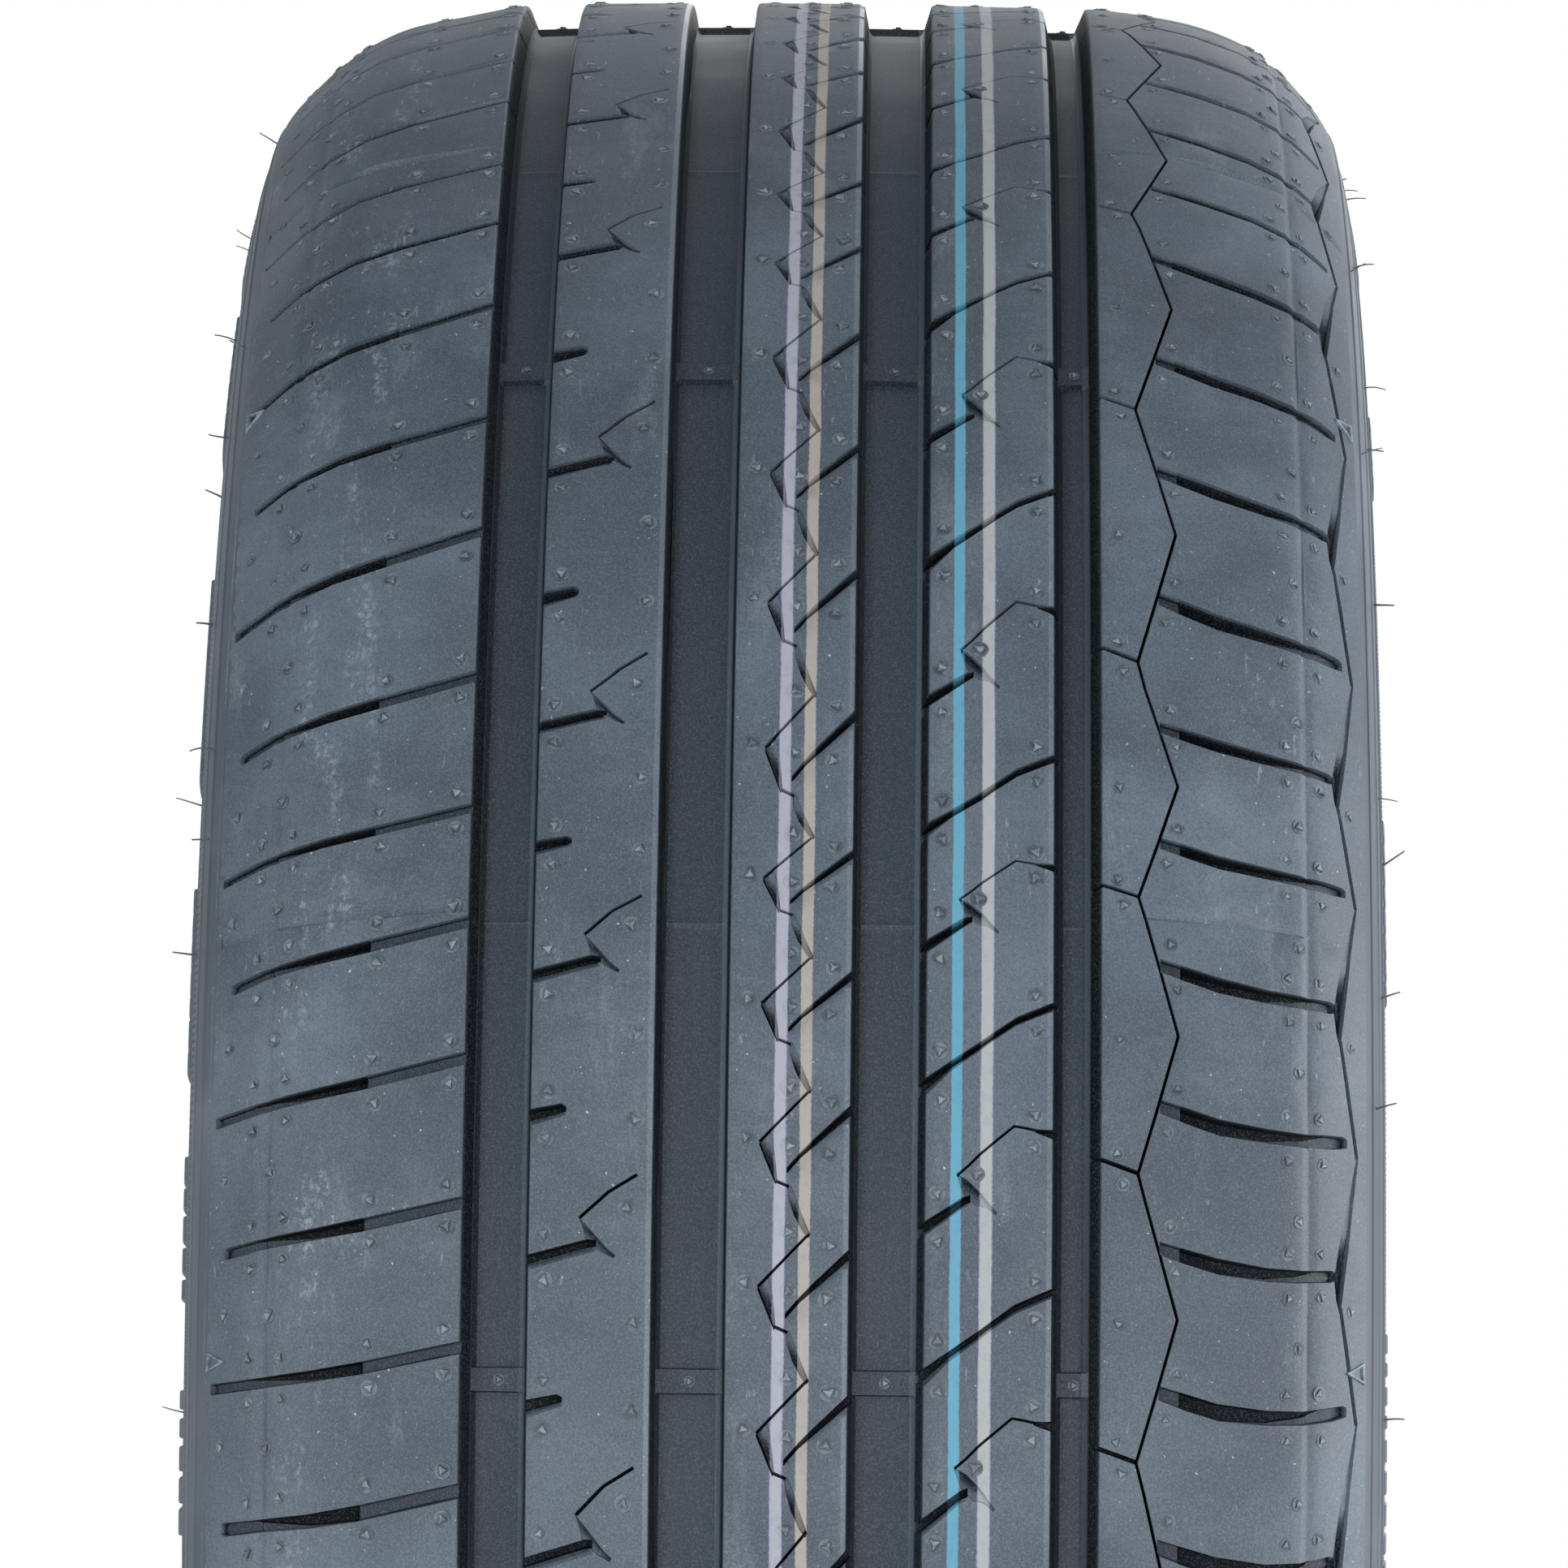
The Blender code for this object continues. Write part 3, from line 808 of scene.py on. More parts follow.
def coat_wear(n, y, land, fine):
    """Smudges and scratches on the land, pale clouds of painted highlight, and a grain over everything.
    """
    # pale flakes round the left shoulder, and a faint scrubbed band round the right one
    flake = n.times(
        n.ramp(n.noise(scale=60.0, detail=5.0, rough=0.72, stretch=(0.7, 2.4, 0.7)),
               at=(0.53, 0.64)),
        n.ramp(n.noise(scale=520.0, detail=4.0, rough=0.75), at=(0.47, 0.6)),
        n.band(y, centre=-93.0, half=9.0, soft=8.0))
    n.coat(n.times(flake, land), amount=0.5, tone=srgb(160, 170, 178))
    scrub = n.times(
        n.band(y, centre=91.0, half=9.0, soft=8.0),
        n.ramp(n.noise(scale=14.0, detail=4.0, rough=0.6), at=(0.52, 0.66), to=(0.0, 0.14)))
    n.coat(scrub, amount=land, tone=srgb(168, 174, 180))
    scratch = n.times(
        n.ramp(n.noise(scale=90.0, rough=0.6, stretch=(1.0, 9.0, 2.2)),
               at=(0.66, 0.70), to=(0.0, 0.4)),
        n.ramp(n.noise(scale=40.0, detail=2.0), at=(0.5, 0.6)))
    n.coat(scratch, amount=land, tone=srgb(150, 160, 170))
    speck = n.ramp(n.noise(scale=900.0, detail=2.0, rough=0.5), at=(0.735, 0.765), to=(0.0, 0.65))
    n.coat(speck, amount=land, tone=srgb(205, 208, 212))
    # pale clouds over the land: painted soft highlights
    highlight_cloud = n.ramp(n.noise(scale=12.0), at=(0.44, 0.66), to=(0.0, 0.20), smooth=True)
    n.coat(highlight_cloud, amount=land, tone=srgb(126, 141, 154))
    shade = n.ramp(n.noise(scale=7.0, detail=2.0, rough=0.5),
                   at=(0.38, 0.54), to=(0.22, 0.0), smooth=True)
    n.coat(shade, tone=srgb(36, 43, 51))
    smear = n.times(
        n.ramp(n.noise(scale=34.0, detail=5.0, rough=0.7, stretch=(0.6, 2.2, 0.6)),
               at=(0.58, 0.70), to=(0.0, 0.20)),
        n.ramp(fine, at=(0.4, 0.6), to=(0.3, 1.0)))
    n.coat(smear, amount=land, tone=srgb(158, 168, 178))
    mottle = n.noise(scale=2400.0, detail=2.0, rough=0.7)
    n.coat(n.ramp(mottle, at=(0.30, 0.52), to=(0.34, 0.0)), tone=srgb(22, 26, 31))
    n.coat(n.ramp(mottle, at=(0.50, 0.72), to=(0.0, 0.20)), tone=srgb(140, 150, 160))


def coat_paint(n, y, depth):
    """Painted lines with frayed edges, which run over the bevels and into the sipes."""
    wavy = n.plus(y, n.ramp(n.noise(scale=30.0, detail=2.0), at=(0.3, 0.7), to=(-0.15, 0.15)))
    frayed = n.plus(wavy, n.ramp(n.noise(scale=1400.0, rough=0.7), at=(0.3, 0.7), to=(-0.10, 0.10)))
    patchy = n.ramp(n.noise(scale=380.0, detail=4.0, rough=0.7), at=(0.25, 0.5), to=(0.80, 1.0))
    reach = n.ramp(depth, at=(1.6, 4.5), to=(1.0, 0.25))
    for centre, half, tone, cover, rimmed in PAINTED_LINES:
        mark = n.times(n.band(frayed, centre=centre, half=half, soft=0.25), patchy)
        n.coat(mark, amount=n.times(reach, cover), tone=tone)
        if rimmed:
            away = n.math("ABSOLUTE", n.less(frayed, centre))
            rim = n.band(away, centre=half, half=0.12, soft=0.15)
            n.coat(rim, amount=n.times(reach, 0.5), tone=srgb(120, 112, 160))


def tread_look(n):
    y, depth = n.axle(), n.attribute("depth")
    land = n.ramp(depth, at=(0.3, 1.0), to=FALL)
    sunk = n.ramp(depth, at=(0.8, 2.2))
    blotch = n.noise(scale=26.0, detail=5.0, rough=0.62)
    fine = n.noise(scale=1300.0, rough=0.7)
    scuff = n.noise(scale=240.0, detail=4.0, rough=0.65, stretch=(1.0, 0.35, 1.0))
    dust = n.times(n.ramp(blotch, at=(0.35, 0.72), to=(0.05, 0.22), smooth=True),
                   n.ramp(scuff, at=(0.30, 0.72), to=(0.5, 1.1)))
    n.colour = srgb(57, 68, 79)
    n.coat(dust, amount=land, tone=srgb(138, 149, 160))
    wall, chamfer, fillet = coat_grooves(n, y, depth, sunk)
    coat_wear(n, y, land, fine)
    coat_paint(n, y, depth)
    rough = n.less(n.ramp(blotch, at=(0.3, 0.7), to=(0.50, 0.62)), n.times(sunk, 0.02))
    dull = n.either(n.times(wall, 0.46), n.times(sunk, n.less(1.0, fillet), 0.13))
    grain = n.bump(fine, distance=0.00010, strength=0.35)
    n.surface(rough=n.less(rough, n.times(n.either(chamfer, fillet), 0.22)),
              specular=n.less(0.5, dull),
              normal=n.bump(scuff, distance=0.00022, strength=0.25, normal=grain))


# ---------------------------------------------------------------------------------- other looks
def side_look(n):
    radius = n.radius()
    blotch = n.noise(scale=16.0, detail=4.0, rough=0.6)
    fine = n.noise(scale=1000.0, detail=2.0, rough=0.6)
    streak = n.noise(scale=60.0, detail=4.0, rough=0.6)
    film = n.times(n.ramp(blotch, at=(0.4, 0.72), to=(0.0, 0.30), smooth=True),
                   n.ramp(streak, at=(0.35, 0.7), to=(0.3, 1.0)))
    n.colour = srgb(60, 68, 77)
    n.coat(film, tone=srgb(128, 138, 148))
    # a paler bloom near the shoulder
    bloom = n.times(n.ramp(radius, at=(283.0, 300.0)),
                    n.ramp(n.noise(scale=9.0), at=(0.45, 0.7), to=(0.0, 0.22)))
    n.coat(bloom, tone=srgb(104, 114, 124))
    # the band under the raised marks is darker and smoother, the marks and three ribs paler
    band = n.band(radius, centre=277.5, half=7.6, soft=0.4)
    n.coat(band, amount=0.45, tone=srgb(34, 39, 45))
    worn = n.times(n.attribute("raised"), n.ramp(streak, at=(0.3, 0.7), to=(0.35, 0.75)))
    first, second, third = (n.band(radius, centre=centre, half=half, soft=0.3)
                            for centre, half in ((286.4, 0.45), (269.0, 0.55), (291.2, 0.45)))
    ribs = n.either(first, n.either(second, third))
    n.coat(n.either(worn, n.times(ribs, 0.35)), tone=srgb(104, 114, 125))
    # fine turned lines, 0.9 mm apart
    lines = n.math("SINE", n.times(radius, 2 * math.pi / 0.9))
    grooved = n.bump(lines, distance=0.00005, strength=0.25)
    n.surface(rough=n.less(n.ramp(blotch, at=(0.3, 0.7), to=(0.46, 0.60)), n.times(band, 0.08)),
              normal=n.bump(fine, distance=0.0001, strength=0.3, normal=grooved))


def pip_look(n):
    """A closed vent: scuffed pale on top, with painted shade where it meets the tread, at its stub's
    foot and on its ring.
    """
    scuff, fine = n.noise(scale=420.0, rough=0.7), n.noise(scale=1500.0, detail=2.0, rough=0.6)
    n.colour = srgb(60, 70, 81)
    n.coat(n.ramp(scuff, at=(0.40, 0.64), to=(0.14, 0.66), smooth=True), tone=srgb(146, 157, 166))
    # painted shade from the shade attribute: where the mark meets the tread, at its stub's foot and on
    # its ring
    n.coat(n.attribute("shade"), amount=0.92, tone=srgb(14, 16, 20))
    # the painted line in the middle runs over the vents it meets
    line = n.band(n.axle(), centre=CENTRE_LINE, half=1.2, soft=0.2)
    n.coat(line, amount=0.85, tone=srgb(155, 156, 165))
    n.surface(rough=n.ramp(scuff, at=(0.3, 0.7), to=(0.46, 0.62)),
              normal=n.bump(fine, distance=0.00012, strength=0.4))


def rubber(base, rough, dust, dust_tone=srgb(150, 153, 156)):
    """Weathered rubber: fine grain, soft blotches and a film of dust."""
    def look(n):
        blotch = n.noise(scale=22.0, detail=4.0, rough=0.6)
        fine = n.noise(scale=900.0, detail=2.0, rough=0.6)
        film = n.times(n.ramp(blotch, at=(0.42, 0.70), to=(0.0, dust), smooth=True),
                       n.ramp(fine, at=(0.35, 0.7), to=(0.5, 1.0)))
        n.surface(colour=n.mix(film, base, dust_tone), specular=0.5,
                  rough=n.ramp(blotch, at=(0.3, 0.7), to=(rough - 0.06, rough + 0.08)),
                  normal=n.bump(fine, distance=0.00012, strength=0.35))
    return look


def cord(tone, spacing, lay, rough):
    """Parallel cords under a skim of rubber, lay degrees from running round the tire."""
    def look(n):
        x, y, z = n.split(n.here())
        turn = n.times(n.math("ARCTAN2", z, x), 314.0)  # mm round the tire
        across = n.plus(n.times(y, 1000.0, math.cos(math.radians(lay))),
                        n.times(turn, math.sin(math.radians(lay))))
        wave = n.math("SINE", n.times(across, 2 * math.pi / spacing))
        grime = n.noise(scale=40.0, detail=4.0)
        skim = n.times(n.ramp(grime, at=(0.35, 0.7), to=(0.15, 0.7)),
                       n.ramp(wave, at=(-1.0, 1.0), to=(1.0, 0.6)))
        n.surface(colour=n.mix(skim, tone, srgb(42, 42, 44)),
                  rough=n.ramp(grime, at=(0.3, 0.7), to=(rough, rough + 0.2)),
                  normal=n.bump(wave, distance=0.0003, strength=0.6))
    return look


def liner_look(n):
    """Butyl: smooth, grey-black and slightly shiny, with a pale film in runs."""
    film = n.noise(scale=18.0, detail=5.0, rough=0.65, stretch=(1.0, 0.4, 1.0))
    fine = n.noise(scale=500.0, rough=0.6)
    n.colour = srgb(46, 47, 50)
    n.coat(n.ramp(film, at=(0.42, 0.75), to=(0.0, 0.38), smooth=True), tone=srgb(132, 133, 134))
    n.surface(rough=n.ramp(film, at=(0.3, 0.7), to=(0.38, 0.62)),
              normal=n.bump(fine, distance=0.0001, strength=0.3))


def steel_look(n):
    grain = n.noise(scale=700.0)
    n.colour = srgb(150, 112, 74)
    n.coat(n.ramp(grain, at=(0.3, 0.7)), tone=srgb(120, 96, 72))
    n.surface(metallic=0.9, rough=n.ramp(grain, at=(0.3, 0.7), to=(0.32, 0.5)))


TREAD = material("tread rubber, scuffed", tread_look)
SIDE = material("sidewall rubber", side_look)
PIP = material("vent mark rubber", pip_look)
HAIR = material("vent spew rubber", rubber(base=srgb(92, 96, 102), rough=0.5, dust=0.2))
RIM = material("rim strip rubber", rubber(base=srgb(54, 60, 68), rough=0.48, dust=0.22,
                                          dust_tone=srgb(122, 131, 140)))
BASE = material("tread base rubber", rubber(base=srgb(40, 41, 44), rough=0.65, dust=0.2))
HARD = material("bead filler rubber", rubber(base=srgb(48, 46, 45), rough=0.6, dust=0.25))
LINER = material("liner butyl", liner_look)
NYLON = material("nylon cap cord",
                 cord(tone=srgb(176, 160, 132), spacing=0.9, lay=0.0, rough=0.6))
BELT_A, BELT_B = (
    material(f"brass-coated steel cord, {way} way",
             cord(tone=srgb(168, 132, 84), spacing=1.3, lay=lay, rough=0.4))
    for way, lay in (("one", 66.0), ("other", -66.0)))
POLYESTER = material("polyester ply cord",
                     cord(tone=srgb(190, 178, 150), spacing=1.0, lay=90.0, rough=0.65))
TEXTILE = material("bead wrap textile",
                   cord(tone=srgb(150, 140, 120), spacing=0.8, lay=45.0, rough=0.7))
STEEL = material("bead wire steel", steel_look)


# ---------------------------------------------------------------------------------- tread
def tread_inner(y):
    """(y, radius) on the tread's underside, beneath the skin at y."""
    away = np.abs(y)
    edge = np.where(np.asarray(y) < 0, -TREAD_L, TREAD_R)
    inner = np.where(away <= 103.0, away, 103.0 + (away - 103.0) * 8.2 / (edge - 103.0))
    radius = np.interp(inner, [0, 60, 80, 103.2, 103.9, 105.3, 111.2],
                       [316.15, 316.15, 313.28, 309.93, 306.0, 297.2, 298.2])
    return np.sign(y) * inner, radius


def sector_patches(joints):
    """Each sector's patches, one per cell it touches: y, pitch, depth and triangles."""
    starts = [np.mean(joint) for joint in joints]
    bar_pitches = [[pitch_at(degrees, y) for y in EDGES] for degrees in WEAR_BARS]
    sectors = [[] for _ in SECTORS]
    plain = cell_mesh([], None)
    for first in range(0, PITCHES, 2):
        bars, split = [], None
        for pitches in bar_pitches:
            bar = [((pitch - first + PITCHES / 2) % PITCHES - PITCHES / 2) * PITCH_MM
                   for pitch in pitches]
            if -4 < np.mean(bar) < CELL + 4:
                turn = float(angle_at(first + 0.9, 0.0) - angle_at(first + 1.1, 0.0)) / 0.2
                real_pitch = turn * (CROWN_R - GROOVE_D)
                bars.append((bar, BAR_HALF * PITCH_MM / real_pitch))
        for joint, start in zip(joints, starts):
            if first < start < first + 2:
                split = [(pitch - first) * PITCH_MM for pitch in joint]
        points, depth, triangles = cell_mesh(bars, split) if bars or split else plain
        y, pitch = points[:, 0], first + points[:, 1] / PITCH_MM
        middle, middle_y = pitch[triangles].mean(1), y[triangles].mean(1)
        which = sum(middle > np.interp(middle_y, EDGES, joint) for joint in joints) % len(joints)
        for k in set(which.tolist()):
            used, own = np.unique(triangles[which == k], return_inverse=True)
            # the first sector runs past the last pitch and goes on counting up
            shift = PITCHES if k == 0 and first < starts[0] else 0
            sectors[k].append((y[used], pitch[used] + shift, depth[used], own.reshape(-1, 3)))
    return sectors


def join_patches(patches):
    """One sector's patches with their shared points merged, and triangles that face out."""
    y, pitch, depth = (np.concatenate([patch[k] for patch in patches]) for k in range(3))
    starts = np.cumsum([0] + [len(patch[0]) for patch in patches[:-1]])
    triangles = np.concatenate([patch[3] + start for patch, start in zip(patches, starts)])
    key = np.round(np.stack([y, pitch * PITCH_MM], 1) * 500).astype(np.int64)
    _, first, same = np.unique(key, axis=0, return_index=True, return_inverse=True)
    triangles = same.reshape(-1)[triangles]
    a, b, c = triangles.T
    triangles = triangles[(a != b) & (b != c) & (a != c)]
    return y[first], pitch[first], depth[first], triangles[:, ::-1]


def open_border(triangles, sector):
    """The points of the mesh's open border, in order."""
    edges = np.concatenate([triangles[:, [0, 1]], triangles[:, [1, 2]], triangles[:, [2, 0]]])
    seen = {tuple(edge) for edge in edges.tolist()}
    after = {a: b for a, b in seen if (b, a) not in seen}
    start = min(after)
    border, at = [start], after[start]
    while at != start:
        border.append(at)
        at = after[at]
    if len(border) != len(after):
        raise ValueError(f"tread sector {sector} has a torn edge: {len(border)} of {len(after)}")
    return np.array(border)


def underside(y, pitch, first):
    """The underside inside a border: its points, border first, and faces numbered from first."""
    count = len(y)
    flat = [Vector((float(a), float(b * PITCH_MM))) for a, b in zip(y, pitch)]
    ring = [(i, (i + 1) % count) for i in range(count)]
    for along in np.linspace(pitch.min() * PITCH_MM, pitch.max() * PITCH_MM, 14)[1:-1]:
        flat += [Vector((float(a), float(along)))
                 for a in (-110, -103, -92, -80, -60, -30, 0, 30, 60, 80, 92, 103, 110)]
    out, _, faces, origin, *_ = delaunay_2d_cdt(flat, ring, [], 1, 1e-5, True)

    def turn(face):
        return (out[face[1]] - out[face[0]]).cross(out[face[2]] - out[face[0]])

    # slivers beyond the border are left out: they hold one of its edges the wrong way round
    area = sum(flat[i].cross(flat[j]) for i, j in ring)
    way = 1 if area * sum(turn(face) for face in faces) > 0 else -1
    on_border = [next((s for s in origin[i] if s < count), None) for i in range(len(out))]

    def beyond(face):
        ends = [(on_border[a], on_border[b]) for a, b in zip(face, [*face[1:], face[0]])]
        return any(a is not None and b is not None and (a - b) * way % count == 1
                   for a, b in ends)
    index, extra = [], []
    for point, place in zip(out, on_border):
        if place is not None:
            index.append(first + place)
        else:
            index.append(first + count + len(extra))
            extra.append((point.x, point.y))
    extra = np.array(extra)
    y = np.concatenate([y, extra[:, 0]])
    pitch = np.concatenate([pitch, extra[:, 1] / PITCH_MM])
    floor = []
    for face in faces:
        if not beyond(face):
            # one that turns anticlockwise faces the axle, as pitch runs against the angle
            numbered = [index[i] for i in face]
            floor.append(numbered if turn(face) > 0 else numbered[::-1])
    return around(*tread_inner(y), angle_at(pitch, y)), np.array(floor)


def build_tread():
    joints = sorted([pitch_at(degrees, y) for y in EDGES] for degrees in SECTORS)
    for k, patches in enumerate(sector_patches(joints)):
        y, pitch, depth, triangles = join_patches(patches)
        outer = around(*skin_point(y, depth), angle_at(pitch, y))
        border = open_border(triangles, k)
        first, count = len(outer), len(border)
        inner, floor = underside(y[border], pitch[border], first)
        walls = []
        for i in range(count):
            j = (i + 1) % count
            walls += [(border[i], first + i, first + j), (border[i], first + j, border[j])]
        new_object(f"tread_segment_{k + 1}", np.concatenate([outer, inner]),
                   np.concatenate([triangles, np.array(walls), floor]), TREAD, "tread_rubber",
                   attribute=("depth", np.concatenate([depth, np.full(len(inner), 6.0)])),
                   replaces=("tread_cap", "tread_wing_left", "tread_wing_right"))


# ---------------------------------------------------------------------------------- vent marks
VENTS = {  # (y, pitch) in each cell
    "crown": [
        (-47.9, .264), (-47.8, .585), (-47.4, 1.272), (-47.6, 1.601), (-31.2, .079), (-29.7, .871),
        (-29.7, 1.472), (-7.3, .59), (1.4, .24), (1.5, .65), (9.9, .34), (9.3, .70), (-7.3, 1.59),
        (1.4, 1.24), (1.5, 1.65), (9.9, 1.34), (9.3, 1.70), (31.3, 1.972), (31.4, .311),
        (31.6, .978), (31.9, 1.323), (50.9, .567), (51.1, .825), (50.9, 1.422), (50.8, 1.65),
        (39.2, 1.84)],
    "right": [
        (68.7, 1.878), (67.9, .874), (67.5, 1.667), (78.3, .168), (79.5, .497), (79.7, 1.21),
        (77.5, 1.514), (102.2, .327), (102.5, .655), (102.0, 1.341), (102.2, 1.659), (109.0, .306),
        (109.4, .627), (108.9, 1.326), (109.5, 1.65), (104.7, .078), (104.7, 1.019), (115.7, .716)],
    "left": [
        (-67.5, 1.927), (-67.5, .221), (-83.0, .031), (-82.9, .327), (-101.0, .127),
        (-100.8, .426), (-107.7, .174), (-107.5, .485), (-113.3, .818), (-103.7, .827),
        (-67.5, .929), (-83.2, 1.035), (-101.1, 1.131), (-107.8, 1.141), (-67.4, 1.233),
        (-82.6, 1.349), (-100.8, 1.437), (-107.7, 1.479), (-113.5, 1.806), (-103.8, 1.798)]}


def skin_frame(y, angle):
    """A point of the skin, and unit vectors across the tread, round the tire and outwards."""
    low, high = (np.array([float(c) for c in skin_point(at, 0.0)]) for at in (y - 0.05, y + 0.05))
    middle = (low + high) / 2
    way = (high - low) / np.linalg.norm(high - low)
    cos, sin = math.cos(angle), math.sin(angle)
    across = np.array([way[1] * cos, way[0], way[1] * sin])
    out = np.array([way[0] * cos, -way[1], way[0] * sin])
    point = np.array([middle[1] * cos, middle[0], middle[1] * sin])
    return point, across, np.cross(out, across), out


def stand(shape, point, across, round_way, out):
    """A shape of (across, round, out) points stood at a point."""
    x, y, z = shape.T
    return point + np.outer(x, across) + np.outer(y, round_way) + np.outer(z, out)


def vent_mark():
    """A three-lobed stub in a low dished ring, as (across, round, out) points and faces."""
    points, faces = [], []
    count = 12
    for radius, height in ((1.50, -0.2), (1.45, 0.09), (1.22, 0.11)):
        for i in range(count):
            angle = 2 * math.pi * i / count
            points.append((radius * math.cos(angle), radius * math.sin(angle), height))
    for at in (0, count):
        for i in range(count):
            j = (i + 1) % count
            faces.append((at + i, at + j, at + count + j, at + count + i))
    stub = len(points)
    for size, height in ((1.12, -0.02), (1.0, 0.36)):
        for i in range(6):
            angle = math.radians(60 * i)
            radius = size * (0.98 if i % 2 == 0 else 0.40)
            points.append((radius * math.cos(angle), radius * math.sin(angle), height))
    rim = 2 * count
    for i in range(6):
        j = (i + 1) % 6
        middle = rim + 2 * i + 1
        faces += [(middle - 1, middle, stub + i), (middle, stub + j, stub + i),
                  (middle, rim + (2 * i + 2) % count, stub + j),
                  (stub + i, stub + j, stub + 6 + j, stub + 6 + i)]
    top = len(points)
    points.append((0.0, 0.0, 0.39))
    faces += [(stub + 6 + i, stub + 6 + (i + 1) % 6, top) for i in range(6)]
    faces.append(tuple(reversed(range(count))))
    return np.array(points), faces


def uneven_mark(shape, rng, large):
    """A vent mark turned, sized and made uneven at random."""
    def draws(count, low, high):
        return np.array([rng.uniform(low, high) for _ in range(count)])
    turn = rng.uniform(0, 2 * math.pi)
    grow = rng.uniform(0.92, 1.08) * (1.22 if large else 1.0)
    lift = rng.uniform(0.6, 1.25)
    mark = shape * (grow, grow * rng.uniform(0.9, 1.05), lift)
    tilt = rng.uniform(0, 2 * math.pi)
    mark[12:24, 2] += 0.05 * np.cos(np.arange(12) * math.pi / 6 - tilt)
    mark[24:36, 2] += draws(12, -0.04, 0.04)
    mark[42:48, 2] += draws(6, -0.16, 0.08)
    mark[36:48, :2] *= np.tile(draws(6, 0.75, 1.15), 2)[:, None]
    mark[:24, :2] *= 1 + np.tile(draws(12, -0.04, 0.04), 2)[:, None]
    cos, sin = math.cos(turn), math.sin(turn)
    x, y, z = mark.T
    return np.stack([x * cos - y * sin, x * sin + y * cos, z], 1)


def build_vents():
    shape, faces = vent_mark()
    rng = random.Random(11)
    # painted shade for each mark's points: darkest where it meets the tread, less at its stub's foot,
    # least on its ring
    shade = np.zeros(len(shape))
    shade[:12] = 0.9
    shade[12:36] = 0.42
    shade[36:42] = 0.75
    for zone, spots in VENTS.items():
        marks = Pieces()
        for first in range(0, PITCHES, 2):
            for y, pitch in spots:
                mark = uneven_mark(shape, rng, large=-86 < y < 60)
                frame = skin_frame(y, float(angle_at(first + pitch, y)))
                marks.add(stand(mark, *frame), faces)
        if zone == "crown":  # one more stands on each wear bar in each groove
            for degrees in WEAR_BARS:
                for left, right, _, left_lean, right_lean, _ in GROOVES:
                    point, across, round_way, out = skin_frame(
                        (left + left_lean + right - right_lean) / 2, math.radians(degrees))
                    top = point - out * (GROOVE_D - BAR_HEIGHT)
                    marks.add(stand(shape * (0.8, 0.8, 1.3), top, across, round_way, out), faces)
        copies = len(marks.points) // len(shape)
        new_object(f"vent_marks_{zone}", marks.points, marks.faces, PIP, "tread_rubber", 40.0,
                   attribute=("shade", np.tile(shade, copies)))


WEAR_MARKS = {  # (y, pitch) corners
    "left": [(-116.5, -0.075), (-112.8, 0.0), (-116.6, 0.08)],
    "right": [(114.6, 0.0), (118.3, -0.084), (118.4, 0.075)]}


def build_wear_marks():
    """A small raised triangle, open in the middle, on each shoulder beside every wear bar."""
    for word, corners in WEAR_MARKS.items():
        marks = Pieces()
        middle = np.mean(corners, axis=0)
        faces = []
        for at in (0, 3, 6, 9):
            for i in range(3):
                j, above = (i + 1) % 3, (at + 3) % 12
                face = (at + i, at + j, above + j, above + i)
                faces.append(face if word == "right" else face[::-1])
        for degrees in WEAR_BARS:
            start = pitch_at(degrees + 0.6, float(middle[0]))
            points = []
            for size, lift in ((1.06, -0.2), (1.0, 0.42), (0.68, 0.42), (0.62, -0.2)):
                for corner in corners:
                    y, pitch = middle + (np.array(corner) - middle) * size
                    point, _, _, out = skin_frame(float(y), float(angle_at(start + pitch, y)))
                    points.append(point + out * lift)
            marks.add(points, faces)
        new_object(f"wear_marks_{word}", marks.points, marks.faces, PIP, "tread_rubber", 30.0)


# ---------------------------------------------------------------------------------- sidewalls
SIDE_CURVES = {  # from (radius, distance from the centre plane); -1 is left, 1 is right
    -1: smooth_curve([
        (262.6, 122.2), (264.2, 122.35), (267.5, 122.6), (272.0, 122.85), (276.5, 122.95),
        (281.0, 122.75), (284.5, 122.4), (290.0, 121.4), (294.4, 120.2), (298.4, 118.7),
        (301.8, 116.4), (304.8, 113.6)]),
    1: smooth_curve([
        (262.6, 122.2), (264.2, 122.6), (267.5, 123.3), (272.0, 123.85), (276.5, 124.05),
        (281.0, 123.85), (285.0, 123.3), (294.3, 121.4), (298.0, 120.2), (301.2, 118.5),
        (304.1, 116.3), (307.2, 113.6)])}
SIDEWALL_INNER = [(117.85, 263.4), (119.35, 273.1), (116.1, 274.25), (114.3, 284.0),
                  (108.1, 293.0), (105.6, 295.8), (111.25, 298.1)]
# top_rib: radius of the topmost raised ring. spans: where the groups of bars go, in degrees.
# bars: inner radius, outer radius, height. teeth: inner radius, outer radius, count
SIDEWALLS = {
    -1: dict(edge=-TREAD_L, top_rib=297.0, bars=(272.2, 283.6, 0.85), teeth=(286.9, 290.4, 1100),
             spans=dict(start=74, end=-285, width=0.78, sizes=(5, 7, 9, 12),
                        gaps=(3.4, 5.2, 8.6))),
    1: dict(edge=TREAD_R, top_rib=297.6, bars=(275.6, 283.8, 0.45), teeth=(270.6, 274.6, 1440),
            spans=dict(start=70, end=-288, width=0.74, sizes=(4, 6, 8, 11),
                       gaps=(14.0, 19.0, 26.0)))}


def side_frame(side, radius, angle):
    """A point of a sidewall, and unit vectors up it, round the tire and outwards."""
    low, high = (float(SIDE_CURVES[side](at)) for at in (radius - 0.1, radius + 0.1))
    way = np.array([(high - low), 0.2]) / math.hypot(high - low, 0.2)
    cos, sin = math.cos(angle), math.sin(angle)
    up = np.array([way[1] * cos, side * way[0], way[1] * sin])
    out = np.array([-way[0] * cos, side * way[1], -way[0] * sin])
    point = np.array([radius * cos, side * (low + high) / 2, radius * sin])
    return point, up, np.array([-sin, 0.0, cos]), out


